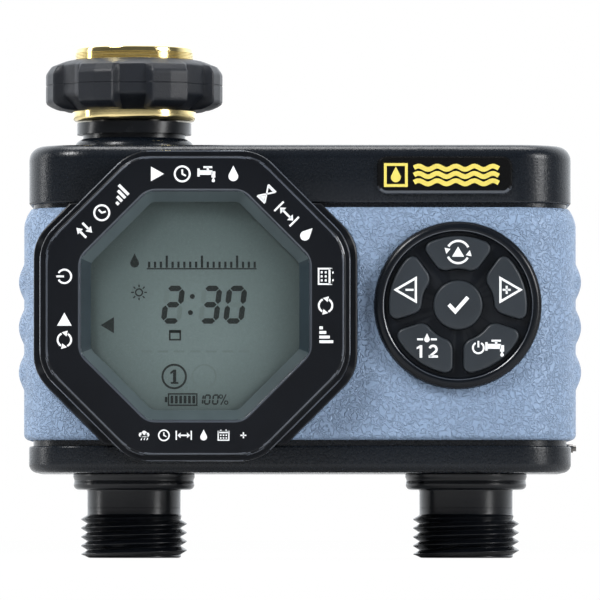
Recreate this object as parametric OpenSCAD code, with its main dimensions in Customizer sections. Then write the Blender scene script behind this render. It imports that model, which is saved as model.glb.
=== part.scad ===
// Two-outlet digital hose timer. Millimetres, +Z up, front faces -Y.
// The origin is on the inlet axis, at the foot of the swivel nut's thread, just above its washer.
// Modules draw with X from the middle of the case and Z as height above the outlet rims;
// place() then moves the drawing to the origin.

/* [Layout] */
// Distance between the two outlet axes; the inlet is above the left one
axis_spacing = 83.4; // [82.8:0.1:84]
// Height of the whole timer, from outlet rims to nut mouth
total_h = 128; // [127.6:0.1:128.4]

/* [Case] */
// Width of the black case
body_w = 135.2; // [134.8:0.1:136]
// Distance from the hose axes to the front face of the case
body_front = 29; // [29:0.1:29.4]
// Distance from the hose axes to the back face of the case
body_back = 33; // [33:0.1:33.4]
// Radius of the two front upright corners
front_r = 15; // [13:0.5:17]
// Radius of the two rear upright corners
rear_r = 5; // [4.5:0.5:5.5]
// Wall thickness of the case
wall = 2.4; // [2.2:0.1:2.6]

/* [Grip band] */
// Height of the band's lower edge
band_bottom = 29.3; // [29.3:0.1:29.6]
// Height of the band's upper edge
band_top = 87; // [86.6:0.1:87]
// How far the band stands proud of the case
band_proud = 1.25; // [1.1:0.05:1.4]
// Depth of the recess that the band sits in
band_recess = 1.1; // [1:0.05:1.2]

/* [Display] */
// Octagon width across flats at the front
bezel_af = 73.3; // [72.8:0.1:74]
// How far the display surround stands in front of the case
bezel_proud = 9.5; // [9.5:0.1:10]
// Window opening across flats
window_af = 56.3; // [55.8:0.1:57]

/* [Keypad] */
// Outer radius of the keypad surround
pad_r = 20.7; // [20.5:0.1:21]
// Outer radius of the five outer buttons
cap_outer_r = 17.1; // [16.9:0.1:17.2]
// Inner radius of the five outer buttons
cap_inner_r = 8.95; // [8.8:0.05:9.1]
// Gap between neighbouring outer buttons
cap_gap = 2.6; // [2.5:0.1:2.8]

/* [Hose threads] */
// Crest radius of the male 3/4-11.5 hose thread
male_crest_r = 13.3; // [13.28:0.01:13.45]
// Root radius of the male thread
male_root_r = 11.9; // [11.8:0.05:12]
// Crest radius of the nut's female thread
female_crest_r = 12.4; // [12.35:0.01:12.5]
// Root radius of the nut's female thread
female_root_r = 13.65; // [13.6:0.01:13.7]
// Distance between thread turns, 11.5 to the inch
pitch = 25.4 / 11.5;

/* [Hidden] */
$fn = 64;

left_x = -axis_spacing / 2;
right_x = axis_spacing / 2;
valve_x = 16.8;
eps = 0.01;
fit_gap = 0.05;
cut = 1;

// case levels and edges
front_y = -body_front;
body_bottom = 21.2;
body_top = 102.6;
recess_bottom = 27.8;
recess_top = 88.1;
ease_bottom = 2.2;
ease_top = 3.5;
collar_r = 14.9;
collar_top_r = 13.6;
collar_foot_t = 1;
collar_t = 2.6;
inner_bottom = body_bottom + wall;
inner_top = body_top - wall;

// display
bezel_x = -25.9;
bezel_h = 62.3;
bezel_front_y = front_y - bezel_proud;
window_taper = 4.8;
lens_front_y = bezel_front_y + 3.2;
lens_t = 1.9;
lens_af = window_af + 3.6;
lcd_t = 2.6;
lcd_af = 57;
lcd_front_y = lens_front_y + lens_t;
lcd_back_y = lcd_front_y + lcd_t;
lcd_hole_af = 63;
seat_af = 80.1;
seat_r_corner = 6;
board_front_y = -24;
board_t = 1.6;
board_half_w = 57;
board_bottom = 33.5;
board_h = 56;
peg_r = 1.5;

// keypad
pad_x = 39.1;
pad_h = 62.6;
pad_crest_r = 19.2;
pad_crest_y = front_y - 3.9;
pad_face_y = front_y - 3;
pad_hole_r = 18.6;
cap_front_y = front_y - 4;
cap_flange_front_y = -28.2;
cap_flange_y = -27.2;
cap_flange_grow = 0.8;
cap_clear = 0.15;
ok_r = 6.1;
mat_face_y = -25.3;
mat_pip_y = -26.1;
mat_pip_r = 3;

// water path heights
neck_r = 12.875;
neck_flange_r = 14.375;
neck_flange_t = 2.9;
neck_top = 109.2;
socket_r = 10.65;
socket_bottom = 92;
bore_r = 8.5;
trunk_h = 57.5;
cup_r = 14;
cup_bottom = 51;
cup_rim = 64;
seat_r = 6.5;
seat_bore_r = 5;
trunk_r = 6.5;
trunk_bore_r = 4.8;
passage_h = 43.3;
passage_r = 7;
outlet_neck_r = 11.7;
outlet_spigot_r = 9.9;
outlet_spigot_top = 37;
outlet_groove_h = 30;
lug_ring_r = 14.5;
bonnet_bottom = 65.5;
bonnet_top = 72;
bonnet_roof = 1.5;
coil_top = 94;
coil_r = 9;
coil_flange_r = 9.6;
plunger_bore_r = 3.3;
plunger_bore_top = 88;
plunger_top = 83;

// swivel nut
nut_lip_r = 10.8;
nut_bottom = 109.6;
nut_shell_r = 14.875;
grip_bottom = 112.1;
grip_top = 125;
grip_r = 22.2;
grip_floor_r = 20.1;
grip_teeth = 7;
nut_thread_bottom = 115.4;
nut_flange_top = 113.6;
flange_t = 1.7;
origin_h = 118;
washer_top = origin_h - 0.4;
female_first_h = origin_h + 0.1;

// rear door
door_w = 110;
door_bottom = 30.6;
door_top = 82;
door_t = 2.4;
hinge_h = 27.8;
hinge_y = 29.6;
hinge_pin_r = 1.1;
hinge_pin_l = 138.4;
hinge_pin_shift = 1.2;
barrel_r = 2.6;
hinge_swing_r = 4.7;
lug_pin_r = 2.4;
lug_w = 8;
lug_x = [-50, 0, 50];
barrel_x = [-25, 25];
barrel_w = 20;
latch_w = 16;
tray_frame_y = 25;
tray_w = 106;
tray_bottom = 36.4;
tray_top = 70.4;
tray_front_y = 14.8;
tray_back_y = body_back - wall - door_t;
cell_r = 7.1;
cell_l = 49.2;
cell_pitch = 16;
cell_far = 50.5;
cell_bay_w = 51;
contact_t = 0.5;

corner_boss_y = -20.5;
boss_r = 3.4;
post_r = 3.6;
case_screw_r = 1.5;
screw_sink = 6;
board_boss_r = 2.6;
board_screw_xz = [[-54, 86], [-54, 38.5], [12, 85], [54, 85], [54, 40]];
screw_well_r = 3;
case_screw_xz = [[-61, 36], [61, 36], [-61, 94], [61, 94], [0, 95]];

module place() { translate([axis_spacing / 2, 0, -origin_h]) children(); }

// ---------- shared shapes ----------

// Plan outline with different front and rear corner radii; grow moves every side outwards
module plan(grow = 0) {
    w = body_w + 2 * grow;
    y0 = front_y - grow;
    y1 = body_back + grow;
    rf = front_r + grow;
    rr = rear_r + grow;
    translate([-w / 2, y0 + rf]) square([w, y1 - rr - y0 - rf]);
    translate([-w / 2 + rf, y0]) square([w - 2 * rf, rf + eps]);
    translate([-w / 2 + rr, y1 - rr - eps]) square([w - 2 * rr, rr + eps]);
    for (s = [-1, 1]) {
        translate([s * (w / 2 - rf), y0 + rf]) circle(rf);
        translate([s * (w / 2 - rr), y1 - rr]) circle(rr);
    }
}

module slab(h0, h1, grow = 0) {
    translate([0, 0, h0]) linear_extrude(h1 - h0) plan(grow);
}

// Case outline with eased top and bottom edges, made of short steps along a quarter round
module eased_block() {
    steps = 5;
    slab(body_bottom + ease_bottom, body_top - ease_top);
    for (i = [0 : steps - 1]) {
        a0 = 90 * i / steps;
        a1 = 90 * (i + 1) / steps;
        mid = (a0 + a1) / 2;
        slab(body_top - ease_top + ease_top * sin(a0) - eps, body_top - ease_top + ease_top * sin(a1),
             -ease_top * (1 - cos(mid)));
        slab(body_bottom + ease_bottom - ease_bottom * sin(a1),
             body_bottom + ease_bottom - ease_bottom * sin(a0) + eps, -ease_bottom * (1 - cos(mid)));
    }
}

// Octagon with rounded corners, measured across flats
module soft_octagon(af, r = 0) {
    inner = af / 2 - r;
    side = 2 * inner * tan(22.5);
    rotate(22.5) circle(inner / cos(22.5), $fn = 8);
    if (r > 0)
        for (k = [0 : 7]) rotate(45 * k) {
            translate([inner - eps, -side / 2]) square([r + eps, side]);
            translate([inner, side / 2]) circle(r);
        }
}

// Turns a drawing in the XY plane to face -Y, from y_front back to y_back
module facing(x, h, y_front, y_back) {
    translate([x, y_back, h]) rotate([90, 0, 0]) linear_extrude(y_back - y_front) children();
}

// Keypad wedge: one button outline, centred on the angle a; grow moves every edge outwards
module cap_outline(a, grow = 0) {
    inset = cap_gap / 2 - grow;
    apex = inset / sin(36);
    reach = 40;
    intersection() {
        difference() {
            circle(cap_outer_r + grow);
            circle(cap_inner_r - grow);
        }
        rotate(a) translate([apex, 0])
            polygon([[0, 0], [reach * cos(36), -reach * sin(36)], [reach * cos(36), reach * sin(36)]]);
    }
}

// One outer button: finger face, body and the wider flange that keeps it in
module cap(a) {
    facing(pad_x, pad_h, cap_front_y, cap_flange_y) cap_outline(a);
    facing(pad_x, pad_h, cap_flange_front_y, cap_flange_y) cap_outline(a, cap_flange_grow);
}

// Compression spring with a plain ring at each end
module coil_spring(x, h, r, wire_r, length, turns) {
    end_r = 1.1 * wire_r;
    translate([x, 0, h]) {
        translate([0, 0, end_r])
            linear_extrude(length - 2 * end_r, twist = -360 * turns, slices = 18 * turns, $fn = 8)
                translate([r, 0]) circle(wire_r, $fn = 8);
        for (z = [end_r, length - end_r])
            translate([0, 0, z]) rotate_extrude() translate([r, 0]) circle(end_r, $fn = 16);
    }
}

// Wire along a list of points, with ball joints at the bends
module wire(points, r) {
    joint_swell = 1.2;
    for (i = [0 : len(points) - 2]) {
        d = points[i + 1] - points[i];
        l = norm(d);
        translate(points[i]) rotate([0, acos(d[2] / l), atan2(d[1], d[0])]) cylinder(h = l, r = r, $fn = 20);
    }
    for (i = [1 : len(points) - 2]) translate(points[i]) sphere(r * joint_swell, $fn = 20);
}

// Thread drawn as separate V ridges with a small flat crest
module ridges(h0, count, root, crest, female = false) {
    flat = 0.28;
    flank = abs(crest - root) * tan(30);
    back = female ? 1.2 : -1.2;
    for (i = [0 : count - 1]) translate([0, 0, h0 + i * pitch]) rotate_extrude()
        polygon([
            [root + back, -flank - flat / 2], [root, -flank - flat / 2], [crest, -flat / 2],
            [crest, flat / 2], [root, flank + flat / 2], [root + back, flank + flat / 2]
        ]);
}

module ring(h0, h1, r_out, r_in) {
    translate([0, 0, h0]) difference() {
        cylinder(h = h1 - h0, r = r_out);
        translate([0, 0, -cut]) cylinder(h = h1 - h0 + 2 * cut, r = r_in);
    }
}

module rod_y(x, h, y0, y1, r) {
    translate([x, y1, h]) rotate([90, 0, 0]) cylinder(h = y1 - y0, r = r);
}

module pan_screw_y(x, h, y_head, length, r, head_r, head_t) {
    difference() {
        union() {
            rod_y(x, h, y_head - length, y_head + eps, r);
            rod_y(x, h, y_head, y_head + head_t, head_r);
        }
        for (a = [0, 90]) translate([x, y_head + head_t, h]) rotate([0, a, 0])
            cube([head_r * 1.2, head_t, 0.6], center = true);
    }
}

// ---------- case ----------

// Space the band takes out of the case: leaves the display and keypad seats standing
module band_seat() {
    difference() {
        slab(recess_bottom, recess_top, 5);
        slab(recess_bottom - cut, recess_top + cut, -band_recess);
        facing(bezel_x, bezel_h, front_y - 8, 0) soft_octagon(seat_af, seat_r_corner);
        facing(pad_x, pad_h, front_y - 8, 0) circle(pad_r);
        translate([-door_w / 2 - 4, 15, 0]) cube([door_w + 8, 30, 120]);
    }
}

module case_block() {
    difference() {
        union() {
            eased_block();
            cylinder_at(left_x, body_top - 0.1, body_top + collar_foot_t, collar_r);
            translate([left_x, 0, body_top + collar_foot_t - eps])
                cylinder(h = collar_t - collar_foot_t + eps, r1 = collar_r, r2 = collar_top_r);
        }
        slab(inner_bottom, recess_bottom - 0.6, -wall);
        slab(recess_bottom - 0.6 - eps, recess_top + 0.6, -wall - band_recess);
        slab(recess_top + 0.6 - eps, inner_top, -wall);
        band_seat();
        translate([left_x, 0, inner_top - cut]) cylinder(h = 9, r = neck_r + fit_gap);
        for (x = [left_x, right_x])
            translate([x, 0, body_bottom - cut]) cylinder(h = 9, r = outlet_neck_r + fit_gap);
    }
}

module front_housing() {
    color([0.13, 0.15, 0.18]) place() difference() {
        union() {
            intersection() {
                case_block();
                translate([-100, -100, 0]) cube([200, 100, 150]);
            }
            for (p = case_screw_xz)
                rod_y(p[0], p[1], abs(p[0]) > 50 ? corner_boss_y : front_y + 2, 0, boss_r);
            for (p = board_screw_xz) rod_y(p[0], p[1], front_y + 2, board_front_y, board_boss_r);
        }
        facing(bezel_x, bezel_h, front_y - cut, board_front_y + cut) soft_octagon(lcd_hole_af);
        facing(pad_x, pad_h, front_y - cut, board_front_y + cut) circle(pad_hole_r);
        for (p = case_screw_xz) rod_y(p[0], p[1], -12, cut, case_screw_r + 0.05);
        for (p = board_screw_xz) rod_y(p[0], p[1], board_front_y - 2.5, board_front_y + cut, 1.02);
        for (k = [0 : 3]) bezel_peg(k, peg_r + 0.1);
        seal_cord(0.03);
    }
}

// Four pegs that hold the display surround to the case
module bezel_peg(k, r) {
    peg_ring = 35.2;
    a = 45 + 90 * k;
    rod_y(bezel_x + peg_ring * cos(a), bezel_h + peg_ring * sin(a), front_y - eps, board_front_y - 1, r);
}

module rear_housing() {
    post_back = body_back - wall + 0.2;
    color([0.13, 0.15, 0.18]) place() difference() {
        union() {
            difference() {
                union() {
                    intersection() {
                        case_block();
                        translate([-100, 0, 0]) cube([200, 100, 150]);
                    }
                    for (p = case_screw_xz) rod_y(p[0], p[1], 0.02, post_back, post_r);
                    hinge_rail();
                    bay_frame();
                }
                door_pocket();
                hinge_channel();
            }
            for (x = lug_x) hinge_lug(x);
        }
        rod_x(hinge_pin_r + 0.02, body_w + 10);
        seal_cord(0.03);
        for (p = case_screw_xz) {
            rod_y(p[0], p[1], -cut, body_back + cut, case_screw_r + 0.2);
            rod_y(p[0], p[1], body_back - screw_sink, body_back + cut, screw_well_r);
        }
    }
}

// Rod on the door's hinge axis
module rod_x(r, length, x = 0) {
    translate([x - length / 2, hinge_y, hinge_h]) rotate([0, 90, 0]) cylinder(h = length, r = r);
}

// Solid rail behind the lower strip that carries the hinge
module hinge_rail() {
    translate([-body_w / 2 + 2.6, hinge_y - 7.4, body_bottom + 2])
        cube([body_w - 5.2, 8.6, door_bottom - body_bottom - 2.3]);
}

// Thick frame that the battery tray is held in and the door closes on
module bay_frame() {
    translate([-door_w / 2 - 2, tray_frame_y, door_bottom - 1])
        cube([door_w + 4, body_back - wall - tray_frame_y + 0.4, door_top - door_bottom + 3]);
}

// Door pocket, tray opening and the slot for the door's tongue
module door_pocket() {
    translate([-door_w / 2 - 0.25, body_back - door_t - fit_gap, door_bottom - 0.3])
        cube([door_w + 0.5, 30, door_top - door_bottom + 0.6]);
    translate([-tray_w / 2 - fit_gap, 0, tray_bottom - fit_gap])
        cube([tray_w + 2 * fit_gap, 60, tray_top - tray_bottom + 2 * fit_gap]);
    translate([-latch_w / 2 - 0.3, body_back - door_t - 2.4, door_top - 3.5]) cube([latch_w + 0.6, 6, 2.6]);
}

// Channel along the hinge axis that the lower edge of the door swings in
module hinge_channel() {
    rod_x(hinge_swing_r, door_w + 0.5);
    translate([-door_w / 2 - 0.25, hinge_y, hinge_h - hinge_swing_r])
        cube([door_w + 0.5, 20, hinge_swing_r + door_bottom - hinge_h]);
}

module hinge_lug(x) {
    rod_x(lug_pin_r, lug_w, x);
    translate([x - lug_w / 2, hinge_y - hinge_swing_r - 1, hinge_h - 2]) cube([lug_w, hinge_swing_r + 1, 4]);
}

// Cord in a groove on the split plane, broken where the hose necks pass
module seal_cord(grow) {
    x_out = body_w / 2 - 1.25 + grow;
    h0 = body_bottom + 1 - grow;
    h1 = body_top - 1.2 + grow;
    t = 1 + 2 * grow;
    difference() {
        translate([-x_out, -0.6 - grow, h0]) cube([2 * x_out, 1.2 + 2 * grow, h1 - h0]);
        translate([-x_out + t, -5, h0 + t]) cube([2 * x_out - 2 * t, 10, h1 - h0 - 2 * t]);
        cylinder_at(left_x, 90, 110, neck_r + 1.2 - grow);
        for (x = [left_x, right_x]) cylinder_at(x, 10, 40, outlet_neck_r + 1.2 - grow);
    }
}

module housing_seal() { color([0.2, 0.2, 0.22]) place() seal_cord(0); }

module cylinder_at(x, h0, h1, r) { translate([x, 0, h0]) cylinder(h = h1 - h0, r = r); }

module housing_screws() {
    color([0.75, 0.76, 0.78]) place()
        for (p = case_screw_xz) pan_screw_y(p[0], p[1], body_back - screw_sink, 37, case_screw_r, 2.8, 2);
}

module grip_band() {
    rib_r = 4.1;
    rib_proud = 1.4;
    rib_pitch = 11.25;
    color([0.53, 0.62, 0.73]) place() difference() {
        union() {
            slab(band_bottom + 1.2, band_top - 1.2, band_proud);
            slab(band_bottom + 0.4, band_top - 0.4, band_proud - 0.4);
            slab(band_bottom, band_top, band_proud - 1.1);
            for (s = [-1, 1], k = [-1 : 1])
                translate([s * (body_w / 2 + band_proud + rib_proud - rib_r), 0, 57.6 + k * rib_pitch]) {
                    for (y = [-13, 13]) translate([0, y, 0]) sphere(rib_r, $fn = 40);
                    rotate([90, 0, 0]) cylinder(h = 26, r = rib_r, center = true);
                }
        }
        slab(band_bottom - cut, band_top + cut, -band_recess + fit_gap);
        facing(bezel_x, bezel_h, front_y - 8, 0) soft_octagon(seat_af + 0.2, seat_r_corner + 0.5);
        facing(pad_x, pad_h, front_y - 8, 0) circle(pad_r + 0.1);
        translate([-door_w / 2 - 4.2, 15, 0]) cube([door_w + 8.4, 30, 120]);
        for (p = case_screw_xz) rod_y(p[0], p[1], 10, body_back + 10, screw_well_r + 0.2);
    }
}

// ---------- display ----------

module display_bezel() {
    step_af = 76.8;
    step_front_y = bezel_front_y + 1.7;
    color([0.11, 0.12, 0.14]) place() difference() {
        union() {
            intersection() {
                facing(bezel_x, bezel_h, front_y - 2.4, front_y) soft_octagon(seat_af, seat_r_corner);
                translate([-100, -100, recess_bottom + 0.1])
                    cube([200, 200, recess_top - recess_bottom - 0.2]);
            }
            facing(bezel_x, bezel_h, step_front_y, front_y) soft_octagon(step_af, 12);
            facing(bezel_x, bezel_h, step_front_y - 0.8, step_front_y + eps) soft_octagon(bezel_af + 2, 12);
            facing(bezel_x, bezel_h, bezel_front_y, step_front_y) soft_octagon(bezel_af, 12);
            for (k = [0 : 3]) bezel_peg(k, peg_r);
        }
        hull() {
            facing(bezel_x, bezel_h, bezel_front_y - cut, bezel_front_y) soft_octagon(window_af);
            facing(bezel_x, bezel_h, lens_front_y, lens_front_y + eps)
                soft_octagon(window_af - window_taper);
        }
        facing(bezel_x, bezel_h, lens_front_y, front_y + cut) soft_octagon(lens_af);
        facing(bezel_x, bezel_h, lcd_front_y, front_y + cut) soft_octagon(lcd_hole_af);
    }
}

module display_lens() {
    color([0.75, 0.8, 0.8, 0.4]) place()
        facing(bezel_x, bezel_h, lens_front_y, lcd_front_y) soft_octagon(lens_af - 0.1);
}

module lcd_panel() {
    color([0.48, 0.53, 0.5]) place()
        facing(bezel_x, bezel_h, lcd_front_y, lcd_back_y) soft_octagon(lcd_af);
}

module lcd_frame() {
    color([0.85, 0.85, 0.82]) place() difference() {
        union() {
            facing(bezel_x, bezel_h, lcd_back_y, board_front_y) soft_octagon(lcd_hole_af - 0.4);
            facing(bezel_x, bezel_h, lcd_front_y + 0.6, lcd_back_y + eps) soft_octagon(lcd_hole_af - 0.4);
        }
        facing(bezel_x, bezel_h, lcd_front_y - cut, lcd_back_y) soft_octagon(lcd_af + 0.2);
        facing(bezel_x, bezel_h, lcd_back_y - cut, board_front_y - 2.4) soft_octagon(44);
        facing(bezel_x, bezel_h, lcd_back_y - cut, board_front_y + cut) soft_octagon(30);
        connector_space(0.1);
    }
}

// Two slots behind the glass, above and below, where the contact strips stand
module connector_space(grow) {
    for (s = [-1, 1])
        translate([bezel_x - 17 - grow, lcd_back_y - (grow > 0 ? cut : 0), bezel_h + s * 24.4 - 1.2 - grow])
            cube([34 + 2 * grow, board_front_y - lcd_back_y + (grow > 0 ? 2 * cut : 0), 2.4 + 2 * grow]);
}

module lcd_connectors() { color([0.9, 0.6, 0.7]) place() connector_space(0); }

// ---------- electronics ----------

module circuit_board() {
    color([0.1, 0.35, 0.2]) place() difference() {
        translate([-board_half_w, board_front_y, board_bottom]) cube([2 * board_half_w, board_t, board_h]);
        for (p = board_screw_xz) rod_y(p[0], p[1], board_front_y - cut, board_front_y + 3, 1.35);
        for (x = [0, 24]) rod_y(x, 86, board_front_y - cut, board_front_y + 3, 1);
    }
}

module board_components() {
    y0 = board_front_y + board_t;
    color([0.1, 0.1, 0.11]) place() {
        translate([-32, y0, 66]) cube([14, 2.4, 14]);
        translate([8, y0, 70]) cube([10, 1.8, 5]);
        translate([26, y0, 70]) cube([8, 1.8, 6]);
        translate([-50, y0, 60]) cube([3.4, 4.2, 11]);
        for (x = [6, 16, 26, 36]) rod_y(x, 58, y0, y0 + 4.6, 3.6);
        for (k = [0 : 4]) translate([44, y0, 52 + 5 * k]) cube([3.2, 1.4, 1.8]);
        translate([-6, y0, 40]) cube([16, 4.8, 5.4]);
        translate([20, y0, 40]) cube([10, 4.8, 5.4]);
    }
}

module board_screws() {
    color([0.75, 0.76, 0.78]) place()
        for (p = board_screw_xz) pan_screw_y(p[0], p[1], board_front_y + board_t, 3.9, 1, 2.2, 1.4);
}

// ---------- keypad ----------

module keypad_bezel() {
    color([0.1, 0.11, 0.13]) place() difference() {
        union() {
            facing(pad_x, pad_h, pad_face_y, front_y) circle(pad_r);
            facing(pad_x, pad_h, pad_crest_y + 0.4, front_y) circle(pad_crest_r + 0.6);
            facing(pad_x, pad_h, pad_crest_y, front_y) circle(pad_crest_r);
            facing(pad_x, pad_h, pad_face_y, cap_flange_front_y - 0.1) circle(pad_hole_r - 0.1);
        }
        facing(pad_x, pad_h, pad_crest_y - cut, pad_face_y + 0.6) circle(cap_outer_r + cap_flange_grow);
        for (k = [0 : 4]) facing(pad_x, pad_h, pad_crest_y - cut, 0) cap_outline(90 + 72 * k, cap_clear);
        facing(pad_x, pad_h, pad_crest_y - cut, 0) circle(ok_r + cap_clear);
    }
}

module key_mat() {
    color([0.8, 0.8, 0.78]) place() {
        facing(pad_x, pad_h, mat_face_y, board_front_y) circle(pad_hole_r - 0.2);
        for (k = [0 : 4]) facing(pad_x, pad_h, mat_pip_y, mat_face_y + eps)
            rotate(90 + 72 * k) translate([(cap_inner_r + cap_outer_r) / 2, 0]) circle(mat_pip_r);
        facing(pad_x, pad_h, mat_pip_y, mat_face_y + eps) circle(mat_pip_r);
    }
}

module button_ok() {
    color([0.22, 0.25, 0.28]) place() {
        facing(pad_x, pad_h, cap_front_y, cap_flange_y) circle(ok_r);
        facing(pad_x, pad_h, cap_flange_front_y, cap_flange_y) circle(ok_r + cap_flange_grow);
    }
}

module button_cycle() { color([0.22, 0.25, 0.28]) place() cap(90); }
module button_minus() { color([0.22, 0.25, 0.28]) place() cap(162); }
module button_zone() { color([0.22, 0.25, 0.28]) place() cap(234); }
module button_power() { color([0.22, 0.25, 0.28]) place() cap(306); }
module button_plus() { color([0.22, 0.25, 0.28]) place() cap(18); }

module badge_plate() {
    badge_x = 35.85;
    badge_mid_h = 94.9;
    badge_w = 33.5;
    badge_h = 9.4;
    badge_r = 2.4;
    color([0.05, 0.05, 0.06]) place() facing(badge_x, badge_mid_h, front_y - 1, front_y) {
        square([badge_w, badge_h - 2 * badge_r], center = true);
        square([badge_w - 2 * badge_r, badge_h], center = true);
        for (sx = [-1, 1], sy = [-1, 1])
            translate([sx * (badge_w / 2 - badge_r), sy * (badge_h / 2 - badge_r)]) circle(badge_r);
    }
}

// ---------- water path ----------

module valve_body() {
    color([0.14, 0.14, 0.16]) place() difference() {
        union() {
            cylinder_at(left_x, socket_bottom - 3, neck_top, neck_r);
            cylinder_at(left_x, neck_top - neck_flange_t, neck_top, neck_flange_r);
            cylinder_at(left_x, inner_top - 3.2, inner_top - fit_gap, 14);
            cylinder_at(left_x, trunk_h - trunk_r, socket_bottom, bore_r + 2);
            translate([left_x, 0, trunk_h]) rotate([0, 90, 0]) cylinder(h = valve_x - left_x, r = trunk_r);
            for (s = [-1, 1]) {
                cylinder_at(s * valve_x, cup_bottom, cup_rim, cup_r);
                cylinder_at(s * valve_x, passage_h - passage_r, cup_bottom + 1, passage_r);
                translate([s * valve_x, 0, passage_h]) rotate([0, s * 90, 0])
                    cylinder(h = right_x - valve_x, r = passage_r);
                cylinder_at(s * right_x, 28, 51.5, 12.4);
                for (k = [0 : 3]) lug(s * valve_x, k, 56, cup_rim, 2.8);
            }
        }
        cylinder_at(left_x, socket_bottom, neck_top + cut, socket_r);
        cylinder_at(left_x, trunk_h - trunk_bore_r, socket_bottom + cut, bore_r);
        difference() {
            translate([left_x, 0, trunk_h]) rotate([0, 90, 0])
                cylinder(h = valve_x - left_x, r = trunk_bore_r);
            for (s = [-1, 1]) cylinder_at(s * valve_x, 40, cup_rim, seat_r);
        }
        for (s = [-1, 1]) {
            difference() {
                cylinder_at(s * valve_x, cup_bottom + 1.6, cup_rim + cut, cup_r - 2);
                cylinder_at(s * valve_x, cup_bottom + 1, cup_rim, seat_r);
            }
            cylinder_at(s * valve_x, passage_h - 5, cup_rim + cut, seat_bore_r);
            translate([s * valve_x, 0, passage_h]) rotate([0, s * 90, 0])
                cylinder(h = right_x - valve_x, r = seat_bore_r);
            cylinder_at(s * right_x, 28 - cut, outlet_spigot_top + 0.6, outlet_spigot_r + fit_gap);
            cylinder_at(s * right_x, outlet_spigot_top, 49.4, 8);
            for (k = [0 : 3]) lug(s * valve_x, k, 57, cup_rim + cut, 1);
        }
    }
}

module lug(x, k, h0, h1, r) {
    a = 45 + 90 * k;
    translate([x + lug_ring_r * cos(a), lug_ring_r * sin(a), h0]) cylinder(h = h1 - h0, r = r);
}

module inlet_tailpiece() {
    color([0.2, 0.2, 0.22]) place() translate([left_x, 0, 0]) difference() {
        union() {
            cylinder_at(0, 93, nut_flange_top, socket_r - fit_gap);
            cylinder_at(0, nut_flange_top, nut_flange_top + flange_t, female_crest_r - 0.2);
        }
        translate([0, 0, 90]) cylinder(h = 40, r = bore_r);
        cylinder_at(0, nut_flange_top + 0.6, 130, 9.9);
        difference() {
            cylinder_at(0, 96, 98.4, 14);
            cylinder_at(0, 95, 99, 9.3);
        }
    }
}

module inlet_o_ring() {
    color([0.12, 0.12, 0.12]) place() translate([left_x, 0, 0]) ring(96.1, 98.3, 10.62, 9.32);
}

module inlet_filter() {
    color([0.8, 0.8, 0.76]) place() translate([left_x, 0, 0]) {
        ring(nut_flange_top + 0.62, nut_flange_top + 1.68, 9.8, 6.4);
        ring(100, nut_flange_top + 0.8, 7.4, 6.4);
        for (k = [0 : 5]) rotate(30 * k) translate([-6.8, -0.4, 100]) cube([13.6, 0.8, 1]);
    }
}

module inlet_washer() {
    color([0.1, 0.1, 0.1]) place() translate([left_x, 0, 0])
        ring(nut_flange_top + flange_t, washer_top, 12.1, 8.6);
}

// Brass insert of the swivel nut: lip, thread and plain ring
module nut_insert() {
    mouth_bead = 0.35;
    color([0.86, 0.68, 0.3]) place() translate([left_x, 0, 0]) difference() {
        union() {
            cylinder_at(0, nut_bottom + 1, grip_bottom, 15.5);
            cylinder_at(0, nut_bottom, grip_bottom, 15);
            cylinder_at(0, grip_bottom - eps, total_h - mouth_bead, nut_shell_r);
            cylinder_at(0, total_h - mouth_bead - eps, total_h, nut_shell_r - mouth_bead);
        }
        cylinder_at(0, nut_bottom - cut, total_h, nut_lip_r);
        cylinder_at(0, nut_flange_top - 0.2, nut_thread_bottom, 13.2);
        difference() {
            cylinder_at(0, nut_flange_top - 0.1, total_h + cut, female_root_r);
            ridges(female_first_h, 4, female_root_r, female_crest_r, true);
        }
    }
}

// Seven-lobed grip pressed over the insert
module nut_grip() {
    color([0.1, 0.1, 0.11]) place() translate([left_x, 0, 0]) difference() {
        union() {
            cylinder_at(0, grip_bottom, grip_top - 0.6, 15.5);
            cylinder_at(0, grip_top - 0.7, grip_top, 15.4);
            cylinder_at(0, grip_bottom + 1.6, grip_top - 1.4, grip_floor_r);
            for (k = [0 : grip_teeth - 1]) rotate(-90 + (k + 0.5) * 360 / grip_teeth)
                grip_tooth();
        }
        cylinder_at(0, grip_bottom - cut, total_h, nut_shell_r + 0.01);
    }
}

// One raised lobe, a block tapering inwards at its top and bottom
module grip_tooth() {
    foot = 6.9;
    crown = 3.5;
    foot_r = grip_floor_r - 0.5;
    // distance inwards from the grip's ends, and share of the full radius there
    layers = [[2.6, 0.985], [1.8, 0.93], [0.8, 0.84]];
    intersection() {
        union() {
            cylinder_at(0, grip_bottom + 3.2, grip_top - 3.2, grip_r);
            for (l = layers)
                cylinder_at(0, grip_bottom + l[0], grip_top - l[0], grip_r * l[1]);
        }
        linear_extrude(200) polygon([
            [12, -foot], [foot_r, -foot], [grip_r + 1, -crown],
            [grip_r + 1, crown], [foot_r, foot], [12, foot]
        ]);
    }
}

module outlet(x) {
    thread_base = 1.0;
    translate([x, 0, 0]) difference() {
        union() {
            cylinder_at(0, 0, 10.9, male_root_r);
            intersection() {
                ridges(thread_base + 0.2, 5, male_root_r, male_crest_r);
                cylinder_at(0, 0, 12, 20);
            }
            cylinder_at(0, 10.6, inner_bottom + 0.4, outlet_neck_r);
            cylinder_at(0, 17.9, body_bottom - fit_gap, 15.25);
            cylinder_at(0, 17.1, 17.9 + eps, 14.4);
            cylinder_at(0, inner_bottom + fit_gap, inner_bottom + 2.6, 14);
            cylinder_at(0, inner_bottom, outlet_spigot_top, outlet_spigot_r);
        }
        translate([0, 0, -cut]) cylinder(h = 70, r = 7.9);
        difference() {
            cylinder_at(0, outlet_groove_h, outlet_groove_h + 2.4, 12);
            cylinder_at(0, outlet_groove_h - cut, outlet_groove_h + 3, 8.6);
        }
    }
}

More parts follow.
